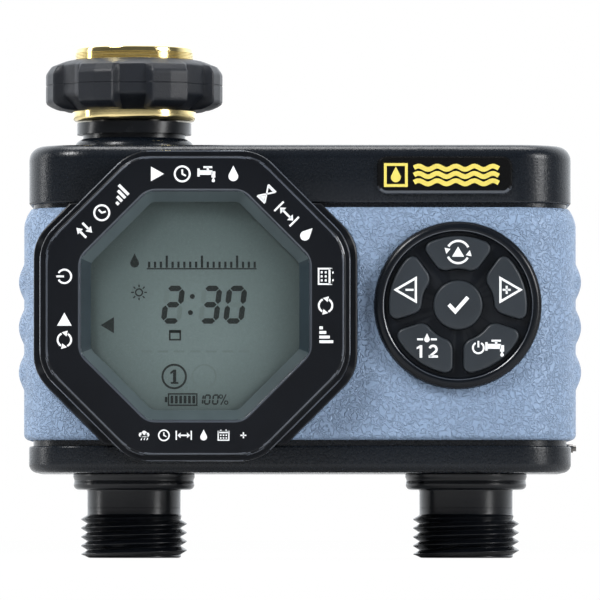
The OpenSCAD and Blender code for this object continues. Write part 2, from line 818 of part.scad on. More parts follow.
module outlet_left() { color([0.12, 0.12, 0.14]) place() outlet(left_x); }
module outlet_right() { color([0.12, 0.12, 0.14]) place() outlet(right_x); }

module outlet_o_rings() {
    color([0.12, 0.12, 0.12]) place() for (x = [left_x, right_x])
        translate([x, 0, 0]) ring(outlet_groove_h + 0.1, outlet_groove_h + 2.3, 9.92, 8.62);
}

module diaphragm(x) {
    translate([x, 0, 0]) ring(cup_rim + 0.01, bonnet_bottom - 0.01, 12.9, 8.1);
}
module diaphragm_left() { color([0.15, 0.15, 0.15]) place() diaphragm(-valve_x); }
module diaphragm_right() { color([0.15, 0.15, 0.15]) place() diaphragm(valve_x); }

module poppet(x) {
    guide_w = 9.6;
    translate([x, 0, 0]) {
        cylinder_at(0, cup_rim + 0.02, cup_rim + 1.6, 8);
        cylinder_at(0, cup_rim + 1.5, cup_rim + 2.6, 3.2);
        for (a = [0, 90]) rotate(a) translate([-guide_w / 2, -0.8, cup_rim - 5]) cube([guide_w, 1.6, 5.5]);
    }
}
module poppet_left() { color([0.9, 0.9, 0.88]) place() poppet(-valve_x); }
module poppet_right() { color([0.9, 0.9, 0.88]) place() poppet(valve_x); }

module poppet_spring(x) {
    foot = cup_rim + 1.62;
    coil_spring(x, foot, 5, 0.4, bonnet_top - bonnet_roof - foot - 0.02, 2.5);
}
module poppet_spring_left() { color([0.8, 0.8, 0.82]) place() poppet_spring(-valve_x); }
module poppet_spring_right() { color([0.8, 0.8, 0.82]) place() poppet_spring(valve_x); }

module bonnet(x) {
    difference() {
        union() {
            cylinder_at(x, bonnet_bottom, bonnet_top, 13.6);
            for (k = [0 : 3]) lug(x, k, bonnet_bottom, bonnet_bottom + 3, 2.8);
        }
        cylinder_at(x, bonnet_bottom - cut, bonnet_top - bonnet_roof, 10.4);
        cylinder_at(x, bonnet_bottom, bonnet_top + cut, 0.8);
        for (k = [0 : 3]) lug(x, k, bonnet_bottom - cut, bonnet_bottom + 12, 1.3);
        for (k = [0 : 3]) lug(x, k, bonnet_bottom + 3, bonnet_bottom + 12, 2.4);
    }
}
module bonnet_left() { color([0.2, 0.2, 0.22]) place() bonnet(-valve_x); }
module bonnet_right() { color([0.2, 0.2, 0.22]) place() bonnet(valve_x); }

module bonnet_screws() {
    color([0.75, 0.76, 0.78]) place() for (s = [-1, 1], k = [0 : 3]) {
        lug(s * valve_x, k, 58, bonnet_bottom + 3.02, 0.98);
        lug(s * valve_x, k, bonnet_bottom + 3, bonnet_bottom + 4.6, 2.1);
    }
}

module solenoid(x) {
    difference() {
        union() {
            cylinder_at(x, bonnet_top, bonnet_top + 1.6, coil_flange_r);
            cylinder_at(x, bonnet_top + 1.5, coil_top - 1.5, coil_r);
            cylinder_at(x, coil_top - 1.6, coil_top, coil_flange_r);
        }
        cylinder_at(x, bonnet_top - cut, plunger_bore_top, plunger_bore_r);
    }
}
module solenoid_left() { color([0.7, 0.35, 0.15]) place() solenoid(-valve_x); }
module solenoid_right() { color([0.7, 0.35, 0.15]) place() solenoid(valve_x); }

module plunger(x) {
    cylinder_at(x, bonnet_top + 0.02, bonnet_top + 1, 1.6);
    cylinder_at(x, bonnet_top + 0.9, plunger_top, plunger_bore_r - 0.1);
}
module plunger_left() { color([0.8, 0.8, 0.82]) place() plunger(-valve_x); }
module plunger_right() { color([0.8, 0.8, 0.82]) place() plunger(valve_x); }

module plunger_spring(x) {
    foot = plunger_top + 0.02;
    coil_spring(x, foot, 2.2, 0.3, plunger_bore_top - foot - 0.02, 4);
}
module plunger_spring_left() { color([0.8, 0.8, 0.82]) place() plunger_spring(-valve_x); }
module plunger_spring_right() { color([0.8, 0.8, 0.82]) place() plunger_spring(valve_x); }

module solenoid_wires() {
    wire_r = 0.55;
    color([0.75, 0.15, 0.12]) place() for (s = [-1, 1], k = [0, 1]) {
        x0 = s * valve_x + (k == 0 ? -4 : 4);
        xb = s * 5 + k * 1.4;
        wire([[x0, 0, coil_top + 0.05 + wire_r], [x0, -11.5, coil_top + 2], [xb, -14.9, 80 - 3 * k],
              [xb, -14.9, 44 + k], [xb, -17.1, 42.7]], wire_r);
    }
}

// ---------- battery bay ----------

module battery_tray() {
    color([0.15, 0.15, 0.17]) place() difference() {
        translate([-tray_w / 2, tray_front_y, tray_bottom])
            cube([tray_w, tray_back_y - tray_front_y, tray_top - tray_bottom]);
        for (s = [-1, 1], k = [0, 1])
            translate([s < 0 ? -0.6 - cell_bay_w : 0.6, tray_front_y + 1.4,
                       tray_bottom + 1.4 + cell_pitch * k])
                cube([cell_bay_w, 20, 15.2]);
        for (s = [-1, 1]) rod_y(s * 1.2, 67, tray_front_y - cut, tray_front_y + 4, 0.7);
    }
}

module batteries() {
    color([0.2, 0.2, 0.2]) place() for (s = [-1, 1], k = [0, 1])
        translate([s < 0 ? -cell_far : cell_far - cell_l, tray_front_y + 1.5 + cell_r,
                   tray_bottom + 9 + cell_pitch * k])
            rotate([0, 90, 0]) {
                cylinder(h = cell_l - 1, r = cell_r);
                cylinder(h = cell_l, r = 2.7);
            }
}

module battery_contacts() {
    color([0.8, 0.8, 0.78]) place() for (s = [-1, 1], k = [0, 1]) {
        x0 = s < 0 ? -0.5 - cell_bay_w : 0.7;
        for (x = [x0, x0 + cell_bay_w - contact_t - 0.2])
            translate([x, tray_front_y + 3, tray_bottom + 3.5 + cell_pitch * k]) cube([contact_t, 10, 11]);
    }
}

module battery_wires() {
    color([0.1, 0.1, 0.1]) place() for (s = [-1, 1])
        wire([[s * 1.2, tray_front_y - 0.2, 67], [s * 1.2, -16.4, 67], [24 + s * 1.2, -17, 43]], 0.5);
}

module battery_door() {
    door_y = body_back - door_t;
    color([0.14, 0.16, 0.19]) place() difference() {
        union() {
            translate([-door_w / 2, door_y, door_bottom]) cube([door_w, door_t, door_top - door_bottom]);
            translate([-latch_w / 2, door_y - 2, door_top - 3.2]) cube([latch_w, 2.1, 2]);
            for (x = barrel_x) {
                rod_x(barrel_r, barrel_w, x);
                translate([x - barrel_w / 2, body_back - door_t, hinge_h])
                    cube([barrel_w, door_t, door_bottom - hinge_h + 1]);
            }
        }
        rod_x(hinge_pin_r + 0.05, body_w);
        for (k = [0 : 3]) translate([-12, body_back - 0.6, door_top - 8 - 2.4 * k]) cube([24, 2, 1]);
    }
}

module door_gasket() {
    gasket_back_y = body_back - door_t - fit_gap;
    color([0.25, 0.25, 0.26]) place() difference() {
        translate([-tray_w / 2, tray_back_y, tray_bottom])
            cube([tray_w, gasket_back_y - tray_back_y, tray_top - tray_bottom]);
        translate([-tray_w / 2 + 1.4, tray_back_y - 1, tray_bottom + 1.4])
            cube([tray_w - 2.8, 4, tray_top - tray_bottom - 2.8]);
    }
}

module door_hinge_pin() {
    straight = hinge_pin_l - 1.6;
    color([0.6, 0.58, 0.55]) place() translate([hinge_pin_shift, hinge_y, hinge_h]) rotate([0, 90, 0]) {
        cylinder(h = straight, r = hinge_pin_r, center = true);
        cylinder(h = hinge_pin_l, r = hinge_pin_r - 0.35, center = true);
    }
}

front_housing();
rear_housing();
housing_seal();
housing_screws();
grip_band();
display_bezel();
display_lens();
lcd_panel();
lcd_frame();
lcd_connectors();
circuit_board();
board_components();
board_screws();
keypad_bezel();
key_mat();
button_ok();
button_cycle();
button_minus();
button_plus();
button_zone();
button_power();
badge_plate();
valve_body();
inlet_tailpiece();
inlet_o_ring();
inlet_filter();
inlet_washer();
nut_insert();
nut_grip();
outlet_left();
outlet_right();
outlet_o_rings();
diaphragm_left();
diaphragm_right();
poppet_left();
poppet_right();
poppet_spring_left();
poppet_spring_right();
bonnet_left();
bonnet_right();
bonnet_screws();
solenoid_left();
solenoid_right();
plunger_left();
plunger_right();
plunger_spring_left();
plunger_spring_right();
solenoid_wires();
battery_tray();
batteries();
battery_contacts();
battery_wires();
battery_door();
door_gasket();
door_hinge_pin();
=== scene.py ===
"""Looks of the two-outlet hose timer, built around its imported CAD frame.

Local coordinates, in millimetres: x from the middle of the case, y as in the frame (front is -y), and
h as height above the outlet rims. at() turns them into the frame's metres.
"""

import math

import bmesh
import bpy
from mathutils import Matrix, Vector


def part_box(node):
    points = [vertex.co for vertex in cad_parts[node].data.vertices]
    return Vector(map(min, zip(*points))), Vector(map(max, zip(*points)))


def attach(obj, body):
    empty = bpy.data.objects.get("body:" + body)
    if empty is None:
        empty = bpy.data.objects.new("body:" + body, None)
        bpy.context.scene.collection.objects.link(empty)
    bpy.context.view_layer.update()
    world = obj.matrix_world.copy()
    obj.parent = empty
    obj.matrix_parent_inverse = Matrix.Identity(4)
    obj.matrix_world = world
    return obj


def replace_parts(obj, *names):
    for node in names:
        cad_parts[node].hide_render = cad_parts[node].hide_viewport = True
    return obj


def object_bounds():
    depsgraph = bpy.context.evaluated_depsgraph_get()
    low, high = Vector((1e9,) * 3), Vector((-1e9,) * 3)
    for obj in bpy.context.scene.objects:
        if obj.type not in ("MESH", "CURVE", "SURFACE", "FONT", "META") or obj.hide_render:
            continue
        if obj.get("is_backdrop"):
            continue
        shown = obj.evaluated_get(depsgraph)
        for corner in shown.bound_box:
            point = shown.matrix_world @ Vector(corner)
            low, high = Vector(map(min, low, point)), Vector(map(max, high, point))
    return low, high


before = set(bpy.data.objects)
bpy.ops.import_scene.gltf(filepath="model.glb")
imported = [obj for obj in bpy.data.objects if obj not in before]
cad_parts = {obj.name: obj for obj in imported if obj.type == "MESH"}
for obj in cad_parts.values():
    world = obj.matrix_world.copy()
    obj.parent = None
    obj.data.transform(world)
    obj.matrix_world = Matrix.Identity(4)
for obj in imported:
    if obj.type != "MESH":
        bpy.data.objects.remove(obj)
cad_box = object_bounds()

MM = 0.001
TAU = 2 * math.pi

# ---------------------------------------------------------------- the frame, in local millimetres

CASE_LO, CASE_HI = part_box("front_housing")
MID_X = (CASE_LO.x + CASE_HI.x) / 2
RIM_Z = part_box("outlet_left")[0].z


def at(x, y, h):
    return Vector((MID_X + x * MM, y * MM, RIM_Z + h * MM))


def span(node):
    """Lowest and highest corner of a CAD node in local millimetres, as two (x, y, h) tuples."""
    lo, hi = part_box(node)
    return tuple(((p.x - MID_X) / MM, p.y / MM, (p.z - RIM_Z) / MM) for p in (lo, hi))


def middle(node):
    lo, hi = span(node)
    return tuple((a + b) / 2 for a, b in zip(lo, hi))


CASE_W = (CASE_HI.x - CASE_LO.x) / MM
FRONT_Y = span("badge_plate")[1][1]
BACK_Y = span("rear_housing")[1][1]
CASE_BOTTOM = span("front_housing")[0][2]
COLLAR_TOP = span("front_housing")[1][2]
COLLAR_RISE = 2.6       # the inlet collar's height above the case's flat top
CASE_TOP = COLLAR_TOP - COLLAR_RISE
BAND_LO, BAND_HI = span("grip_band")
GROOVE_BOTTOM, GROOVE_TOP = BAND_LO[2] - 1.5, BAND_HI[2] + 1.1
RECESS = 1.1            # depth of the recess that carries the band
BAND_PROUD = 1.25       # how far the band stands out of the case
WALL = 2.4
FRONT_R, REAR_R = 15.0, 5.0
INLET_X = middle("nut_insert")[0]
OUTLET_X = {"left": middle("outlet_left")[0], "right": middle("outlet_right")[0]}
BEZEL_X, _, BEZEL_H = middle("display_bezel")
BEZEL_FRONT = span("display_bezel")[0][1]
PAD_X, _, PAD_H = middle("keypad_bezel")
PAD_R = (span("keypad_bezel")[1][0] - span("keypad_bezel")[0][0]) / 2
CAP_FRONT = span("button_ok")[0][1]
PITCH = 25.4 / 11.5     # garden hose thread


# ---------------------------------------------------------------- materials

class Shader:
    """A node material under construction. Object coordinates are in metres and agree between all pieces."""

    def __init__(self, tree, name="Principled BSDF"):
        self.nodes, self.links = tree.nodes, tree.links
        self.surface = self.nodes[name]

    def set(self, node, inputs):
        """Fills inputs, by name or number, with values or with another node's output socket."""
        for key, value in inputs.items():
            if isinstance(value, bpy.types.NodeSocket):
                self.links.new(value, node.inputs[key])
            else:
                node.inputs[key].default_value = value
        return node

    def node(self, kind, inputs=None, **settings):
        """Adds a node and returns it."""
        made = self.nodes.new("ShaderNode" + kind)
        for key, value in settings.items():
            setattr(made, key, value)
        return self.set(made, inputs or {})

    def where(self):
        return self.node("TexCoord").outputs["Object"]

    def noise(self, vector, scale, detail, **others):
        inputs = {"Vector": vector, "Scale": scale, "Detail": detail}
        return self.node("TexNoise", {**inputs, **others}).outputs[0]

    def math(self, operation, *values):
        return self.node("Math", dict(enumerate(values)), operation=operation).outputs[0]

    def spread(self, value, low, high, interpolation="LINEAR", start=0.0, end=1.0):
        """Maps a value from start..end to low..high."""
        inputs = {0: value, "From Min": start, "From Max": end, "To Min": low, "To Max": high}
        return self.node("MapRange", inputs, interpolation_type=interpolation).outputs[0]

    def ramp(self, value, first, last, start=0.0, end=1.0):
        """Blends from one colour to another between two values."""
        made = self.node("ValToRGB", {0: value})
        for stop, place, colour in zip(made.color_ramp.elements, (start, end), (first, last)):
            stop.position = place
            stop.color = (*colour, 1)
        return made.outputs[0]

    def mix(self, factor, first, second, blend="MIX"):
        return self.node("MixRGB", {0: factor, 1: first, 2: second}, blend_type=blend).outputs[0]

    def edge_wear_and_highlight(self, colour, shifted_tone, amount):
        """Lightens convex edges: partly wear from handling, partly a painted highlight where edges catch
        light.
        """
        pointiness = self.node("NewGeometry").outputs["Pointiness"]
        share = self.ramp(pointiness, (0, 0, 0), (amount, amount, amount), 0.52, 0.62)
        return self.mix(share, colour, (*shifted_tone, 1))

    def bump(self, height, distance, strength=1.0):
        return self.node("Bump", {"Height": height, "Distance": distance, "Strength": strength}).outputs[0]

    def finish(self, colour, rough, **others):
        """Sets the surface's inputs; in the names of others, _ stands for a space."""
        inputs = {"Base Color": colour, "Roughness": rough}
        self.set(self.surface, {**inputs, **{key.replace("_", " "): value for key, value in others.items()}})


def new_material(name):
    mat = bpy.data.materials.new(name)
    mat.use_nodes = True
    return mat, Shader(mat.node_tree)


def shaded(colour, share):
    return tuple(min(1, c * share) for c in colour)


def moulded(name, colour, rough, vary=0.12, grain=2600, depth=0.00002, metal=0.0, spec=0.5, wear_and_highlight=0.25,
            stretch=(1, 1, 1)):
    """Moulded or machined surface: mottled colour, uneven gloss, fine grain, and convex edges lightened
    partly by wear and partly by a painted highlight.
    """
    mat, s = new_material(name)
    where = s.node("Mapping", {0: s.where(), "Scale": stretch}).outputs[0]
    fine = s.noise(where, grain, 3.0)
    mottled = s.ramp(s.noise(where, 90.0, 4.0), shaded(colour, 1 - vary), shaded(colour, 1 + vary), 0.3, 0.7)
    # Lighter colour for the convex edges: part wear, part painted highlight.
    shifted_tone = tuple(min(1, c * 1.6 + 0.03) for c in colour)
    s.finish(s.edge_wear_and_highlight(mottled, shifted_tone, wear_and_highlight), s.spread(fine, rough * 0.85, rough * 1.18),
             Normal=s.bump(fine, depth), Metallic=metal, Coat_Roughness=0.08, Specular_IOR_Level=spec)
    return mat


def leather_grip(name, colour):
    """Soft-touch blue with a leather grain: short winding ridges with creases between them; painted shade
    darkens the creases, and the edges are lightened partly by wear, partly by a painted highlight.
    """
    mat, s = new_material(name)
    where = s.where()
    winding = s.noise(where, 880.0, 1.0, Distortion=0.6)
    pebble = s.spread(s.math("ABSOLUTE", s.math("SUBTRACT", winding, 0.5)), 0.0, 1.0, "SMOOTHSTEP", end=0.1)
    height = s.math("MULTIPLY_ADD", s.noise(where, 1300.0, 3.0), 0.55, pebble)
    # Painted shade: darker in the creases, a little lighter on the ridge tops.
    crease_shaded = s.ramp(pebble, shaded(colour, 0.93), shaded(colour, 1.04), 0.0, 0.55)
    clouded = s.mix(0.18, crease_shaded, s.noise(where, 60.0, 3.0), "MULTIPLY")
    s.finish(s.edge_wear_and_highlight(clouded, shaded(colour, 1.25), 0.3), 0.46, Normal=s.bump(height, 0.00026),
             Specular_IOR_Level=0.4)
    return mat


def brushed_brass(name, colour):
    """Turned brass: fine rings around the axis and small stains."""
    mat, s = new_material(name)
    where = s.where()
    lines = s.noise(s.node("Mapping", {0: where, "Scale": (40, 40, 9000)}).outputs[0], 1.0, 4.0)
    stained = s.ramp(s.noise(where, 160.0, 5.0), shaded(colour, 0.82), colour, 0.3, 0.7)
    s.finish(stained, s.spread(lines, 0.07, 0.17), Normal=s.bump(lines, 0.00003, 0.5), Metallic=1.0)
    return mat


def clear_window(name):
    """Acrylic window: mostly see-through, with a soft reflection and faint smudges."""
    mat, s = new_material(name)
    smudge = s.noise(s.where(), 70.0, 5.0)
    s.finish((0.012, 0.018, 0.017, 1), s.spread(smudge, 0.03, 0.12), Alpha=0.14, IOR=1.49)
    return mat


def display_face(name):
    """Grey-green liquid crystal with a fine dot grain; painted shade darkens it from the middle towards the
    rim.
    """
    mat, s = new_material(name)
    where = s.where()
    centre = at(BEZEL_X, BEZEL_FRONT, BEZEL_H - 6.5)
    flat = s.node("VectorMath", {0: where, 1: (1, 0, 1)}, operation="MULTIPLY").outputs[0]
    away = s.node("VectorMath", {0: flat, 1: (centre.x, 0, centre.z)}, operation="DISTANCE").outputs["Value"]
    # Painted shade: the display darkens from the middle towards the rim under the bezel.
    rim_shaded = s.ramp(s.spread(away, 0.0, 1.0, start=0.008, end=0.034), (0.195, 0.255, 0.252),
                   (0.082, 0.112, 0.113))
    s.finish(s.mix(0.16, rim_shaded, s.noise(where, 1800.0, 2.0), "OVERLAY"), 0.3)
    return mat


def cell_wrap(name, sleeve, end, band_from):
    """Dry cells in a glossy sleeve, with a bare metal end further than band_from from the tray's middle."""
    mat, s = new_material(name)
    where = s.where()
    shifted_tone = s.ramp(s.noise(where, 220.0, 4.0), shaded(sleeve, 0.9), sleeve, 0.3, 0.7)
    x = s.node("SeparateXYZ", {0: where}).outputs["X"]
    beyond = s.math("GREATER_THAN", s.math("ABSOLUTE", s.math("SUBTRACT", x, MID_X)), band_from)
    s.finish(s.mix(beyond, shifted_tone, (*end, 1)), 0.28, Metallic=0.55)
    return mat


SMOOTH = dict(grain=3000, depth=0.000003)
BLACK_ABS = moulded("black_abs", (0.0042, 0.0062, 0.0096), 0.27, grain=1700, depth=0.00005, spec=0.3)
# Its edge lightening is mostly a painted highlight along the bezel's steps.
BEZEL_BLACK = moulded("bezel_black", (0.0042, 0.0052, 0.0075), 0.3, grain=3000, depth=0.00001, spec=0.18,
                      wear_and_highlight=0.4)
# Painted reflection of the display on the window's black slopes: a lit copy for the top and bottom slopes, a
# darker shaded copy for the sides.
LIT_SLOPE = moulded("lit_slope_reflection", (0.058, 0.078, 0.084), 0.35, spec=0.15, **SMOOTH)
SHADED_SLOPE = moulded("shaded_slope_reflection", (0.022, 0.034, 0.041), 0.35, spec=0.15, **SMOOTH)
# Painted highlight: a lighter colour for narrow roundings and lips, where edges catch light.
EDGE_HIGHLIGHT = moulded("painted_edge_highlight", (0.048, 0.056, 0.070), 0.25, spec=0.6, **SMOOTH)
PAD_BLACK = moulded("pad_black", (0.0042, 0.0056, 0.0082), 0.24, grain=3000, depth=0.000006, spec=0.2,
                    wear_and_highlight=0.2)
HOSE_BLACK = moulded("hose_black", (0.0036, 0.0046, 0.0066), 0.24, grain=2000, depth=0.000006, spec=0.34)
# Its strong edge lightening is mostly a painted highlight along the teeth's edges.
GRIP_BLACK = moulded("grip_black", (0.0095, 0.0115, 0.016), 0.44, grain=2100, depth=0.00005, spec=0.3,
                     wear_and_highlight=0.8)
GRIP_BLUE = leather_grip("grip_blue", (0.242, 0.336, 0.490))
CAP_GREY = moulded("cap_grey", (0.022, 0.0275, 0.034), 0.40, grain=3200, depth=0.000012, spec=0.32)
PRINT_WHITE = moulded("print_white", (0.86, 0.88, 0.9), 0.5, vary=0.03, grain=4000, depth=0.000004, wear_and_highlight=0)
BADGE_BLACK = moulded("badge_black", (0.0022, 0.0022, 0.0024), 0.12, grain=900, depth=0.000003, spec=0.3)
BADGE_YELLOW = moulded("badge_yellow", (0.66, 0.54, 0.105), 0.4, vary=0.04, grain=3000, depth=0.000005)
BRASS = brushed_brass("brass", (0.95, 0.77, 0.37))
WINDOW = clear_window("clear_window")
LCD_FACE = display_face("lcd_face")
LCD_DARK = moulded("lcd_dark", (0.012, 0.016, 0.016), 0.45, vary=0.1, grain=3000, depth=0.000004, wear_and_highlight=0)
LCD_GHOST = moulded("lcd_ghost", (0.165, 0.216, 0.212), 0.45, vary=0.06, grain=3000, depth=0.000004, wear_and_highlight=0)
RUBBER = moulded("seal_rubber", (0.014, 0.014, 0.014), 0.62, grain=1500, depth=0.00004)
SILICONE = moulded("silicone", (0.52, 0.53, 0.50), 0.5, vary=0.06, grain=1200, depth=0.00002)
STEEL = moulded("steel", (0.56, 0.55, 0.53), 0.24, vary=0.1, grain=1500, depth=0.000012, metal=1.0)
NYLON = moulded("white_nylon", (0.72, 0.72, 0.68), 0.42, vary=0.05, grain=1500, depth=0.00002)
PIN_STEEL = moulded("pin_steel", (0.20, 0.19, 0.18), 0.34, vary=0.12, grain=1500, depth=0.00001, metal=1.0)
BOARD_GREEN = moulded("circuit_green", (0.012, 0.11, 0.045), 0.28, vary=0.25, grain=700, depth=0.00002)
CHIP_BLACK = moulded("component_black", (0.02, 0.02, 0.021), 0.5, grain=2500, depth=0.00002)
COPPER = moulded("coil_copper", (0.46, 0.17, 0.06), 0.3, vary=0.2, grain=900, depth=0.00006, metal=0.6,
                 stretch=(0.2, 0.2, 3))
WIRE_RED = moulded("wire_red", (0.45, 0.02, 0.015), 0.35, grain=1500)
WIRE_BLACK = moulded("wire_black", (0.012, 0.012, 0.012), 0.35, grain=1500)
CELL_WRAP = cell_wrap("battery_wrap", (0.03, 0.075, 0.15), (0.55, 0.54, 0.50), 0.041)
FLOOR = moulded("floor", (0.55, 0.55, 0.55), 0.6, vary=0.015, grain=300, depth=0.00002, wear_and_highlight=0)


def lift_floor(mat, share):
    """Brightens the floor for the camera only, so that it runs into the white backdrop."""
    s = Shader(mat.node_tree)
    seen = s.math("MULTIPLY", s.node("LightPath").outputs["Is Camera Ray"], share)
    glow = s.node("Emission").outputs[0]
    mixed = s.node("MixShader", {0: seen, 1: s.surface.outputs[0], 2: glow}).outputs[0]
    s.links.new(mixed, s.nodes["Material Output"].inputs[0])


lift_floor(FLOOR, 0.985)


# ---------------------------------------------------------------- mesh helpers

def make(name, verts, faces, mat, body=None, slot=None, smooth=32):
    """A piece from local coordinates: (x, y, h) vertices and faces. Without a body it's left unfinished."""
    mesh = bpy.data.meshes.new(name)
    mesh.from_pydata([at(*v) for v in verts], [], faces)
    mesh.validate()
    mesh.materials.append(mat)
    obj = bpy.data.objects.new(name, mesh)
    bpy.context.scene.collection.objects.link(obj)
    tidy_mesh(mesh)
    shade(obj, smooth)
    if body:
        finished(obj, body, slot)
    return obj


def tidy_mesh(mesh, merge=0.2e-6):
    bm = bmesh.new()
    bm.from_mesh(mesh)
    bmesh.ops.remove_doubles(bm, verts=bm.verts, dist=merge)
    bmesh.ops.recalc_face_normals(bm, faces=bm.faces)
    bm.to_mesh(mesh)
    bm.free()


def shade(obj, smooth):
    """Smooth shading, except over edges sharper than an angle in degrees."""
    obj.data.polygons.foreach_set("use_smooth", [True] * len(obj.data.polygons))
    obj.data.set_sharp_from_angle(angle=math.radians(smooth))


def finished(obj, body, slot, *nodes):
    """Evens the normals, records the piece's body and hides the CAD nodes it replaces. The slot is not used.
    """
    modify(obj, "WEIGHTED_NORMAL", weight=90, keep_sharp=True)
    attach(obj, body)
    if nodes:
        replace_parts(obj, *nodes)


def modify(obj, kind, **settings):
    """Adds a modifier and applies it at once."""
    mod = obj.modifiers.new(kind.lower(), kind)
    for key, value in settings.items():
        setattr(mod, key, value)
    graph = bpy.context.evaluated_depsgraph_get()
    mesh = bpy.data.meshes.new_from_object(obj.evaluated_get(graph))
    obj.modifiers.clear()
    old = obj.data
    obj.data = mesh
    bpy.data.meshes.remove(old)


def boolean(obj, cutter, operation="DIFFERENCE"):
    modify(obj, "BOOLEAN", object=cutter, operation=operation, solver="EXACT")
    bpy.data.objects.remove(cutter)


def soften(obj, width, angle=35, segments=2, smooth=32):
    """Rounds sharp edges by a small bevel."""
    modify(obj, "BEVEL", width=width * MM, segments=segments, limit_method="ANGLE",
           angle_limit=math.radians(angle), miter_outer="MITER_ARC", use_clamp_overlap=True)
    shade(obj, smooth)


def accent(obj, mat, chosen):
    """Gives the faces picked by a test their own material."""
    obj.data.materials.append(mat)
    index = len(obj.data.materials) - 1
    for face in obj.data.polygons:
        if chosen(face):
            face.material_index = index


def loft(loops, closed=False, cap=True):
    """Vertices and faces that join loops of equal length; a closed loft joins its last loop to its first."""
    n, rows = len(loops[0]), len(loops)
    verts = [point for loop in loops for point in loop]
    faces = []
    for i in range(rows if closed else rows - 1):
        a, b = i * n, ((i + 1) % rows) * n
        for k in range(n):
            m = (k + 1) % n
            faces.append((a + k, a + m, b + m, b + k))
    if cap and not closed:
        faces.append(tuple(reversed(range(n))))
        faces.append(tuple(range((rows - 1) * n, rows * n)))
    return verts, faces


def revolved(profile, x, steps=96):
    """Turns (r, h) points around an upright axis; a profile may start and end on the axis or be closed."""
    verts, rows = [], []
    for r, h in profile:
        count = 1 if r < 1e-6 else steps
        rows.append(list(range(len(verts), len(verts) + count)))
        verts.extend(turn_point(x, r, h, k / steps) for k in range(count))
    open_ended = len(rows[0]) == 1 or len(rows[-1]) == 1
    pairs = zip(rows, rows[1:] if open_ended else rows[1:] + rows[:1])
    return verts, [face for a, b in pairs for face in joined_rows(a, b, steps)]


def turn_point(x, r, h, turns):
    """The point at radius r and height h, so many turns about the upright axis at x."""
    return x + r * math.cos(TAU * turns), r * math.sin(TAU * turns), h


def joined_rows(a, b, steps):
    """Faces between two rings of vertex numbers, either of which may be a single point."""
    for k in range(steps):
        m = (k + 1) % steps
        if len(a) == len(b) == 1:
            return
        if len(a) == 1:
            yield a[0], b[m], b[k]
        elif len(b) == 1:
            yield a[k], a[m], b[0]
        else:
            yield a[k], a[m], b[m], b[k]


def tool(verts, faces):
    """A cutter for a boolean; it belongs to no body and is removed after use."""
    return make("tool", verts, faces, BLACK_ABS)


def box_tool(lo, hi):
    (x0, y0, h0), (x1, y1, h1) = lo, hi
    verts = [(x, y, h) for h in (h0, h1) for y in (y0, y1) for x in (x0, x1)]
    faces = [(0, 2, 3, 1), (4, 5, 7, 6), (0, 1, 5, 4), (2, 6, 7, 3), (0, 4, 6, 2), (1, 3, 7, 5)]
    return tool(verts, faces)


def rod_tool(axis, centre, r, length, steps=48):
    """Cylinder along x, y or z (here h), centred on centre."""
    loops = []
    for s in (-length / 2, length / 2):
        loop = []
        for k in range(steps):
            a, b = r * math.cos(TAU * k / steps), r * math.sin(TAU * k / steps)
            step = {"x": (s, a, b), "y": (a, s, b), "z": (a, b, s)}[axis]
            loop.append(tuple(c + d for c, d in zip(centre, step)))
        loops.append(loop)
    return tool(*loft(loops))


# ---------------------------------------------------------------- outlines

def polar(r, degrees):
    return r * math.cos(math.radians(degrees)), r * math.sin(math.radians(degrees))


def arc(cx, cy, r, a0, a1, steps):
    """Points on an arc, angles in degrees."""
    points = [polar(r, a0 + (a1 - a0) * k / steps) for k in range(steps + 1)]
    return [(cx + u, cy + v) for u, v in points]


def spaced(p, q, count):
    """count points from p towards q, without q."""
    return [(p[0] + (q[0] - p[0]) * k / count, p[1] + (q[1] - p[1]) * k / count) for k in range(count)]


def rounded_outline(corners, corner_steps, side_steps):
    """Arcs given as (x, y, r, from, to), joined by straight sides that are split into side_steps pieces."""
    points = []
    for k, corner in enumerate(corners):
        curve = arc(*corner, corner_steps)
        nxt = (k + 1) % len(corners)
        start = arc(*corners[nxt], corner_steps)[0]
        points += curve + spaced(curve[-1], start, side_steps[nxt])[1:]
    return points


def plan_outline(grow):
    """The case seen from above: a rectangle with large front and small rear corners, as (x, y) points."""
    half = CASE_W / 2 + grow
    y0, y1 = FRONT_Y - grow, BACK_Y + grow
    rf, rr = max(0.3, FRONT_R + grow), max(0.3, REAR_R + grow)
    corners = [(half - rf, y0 + rf, rf, -90, 0), (half - rr, y1 - rr, rr, 0, 90),
               (-half + rr, y1 - rr, rr, 90, 180), (-half + rf, y0 + rf, rf, 180, 270)]
    return rounded_outline(corners, 14, (56, 20, 56, 20))


def plan_loop(grow, h):
    return [(x, y, h) for x, y in plan_outline(grow)]


def octagon(af, r):
    """Octagon with rounded corners, flats level and upright, measured across flats."""
    reach = (af / 2 - r) / math.cos(math.radians(22.5))
    corners = [(*polar(reach, 45 * k + 22.5), r, 45 * k, 45 * k + 45) for k in range(8)]
    return rounded_outline(corners, 8, [6] * 8)


def octagon_loop(af, r, y, low=-1e9, high=1e9):
    return [(BEZEL_X + u, y, min(high, max(low, BEZEL_H + v))) for u, v in octagon(af, r)]


def octagon_tool(af, y0, y1, r=1.0):
    return tool(*loft([octagon_loop(af, r, y0), octagon_loop(af, r, y1)]))


def fillet(h_centre, grow_centre, r, a0, a1, steps=6):
    """(grow, h) pairs along a rounding of the case's profile."""
    return arc(grow_centre, h_centre, r, a0, a1, steps)


# ---------------------------------------------------------------- case

CASE_LOW_R, CASE_TOP_R, LIP_R = 2.2, 3.5, 0.45
NECK_HOLE_R, OUTLET_HOLE_R = 12.95, 11.8
SCREWS = [(-61, 36), (61, 36), (-61, 94), (61, 94), (0, 95)]
SEAM = 0.06     # gap between the two halves of the case
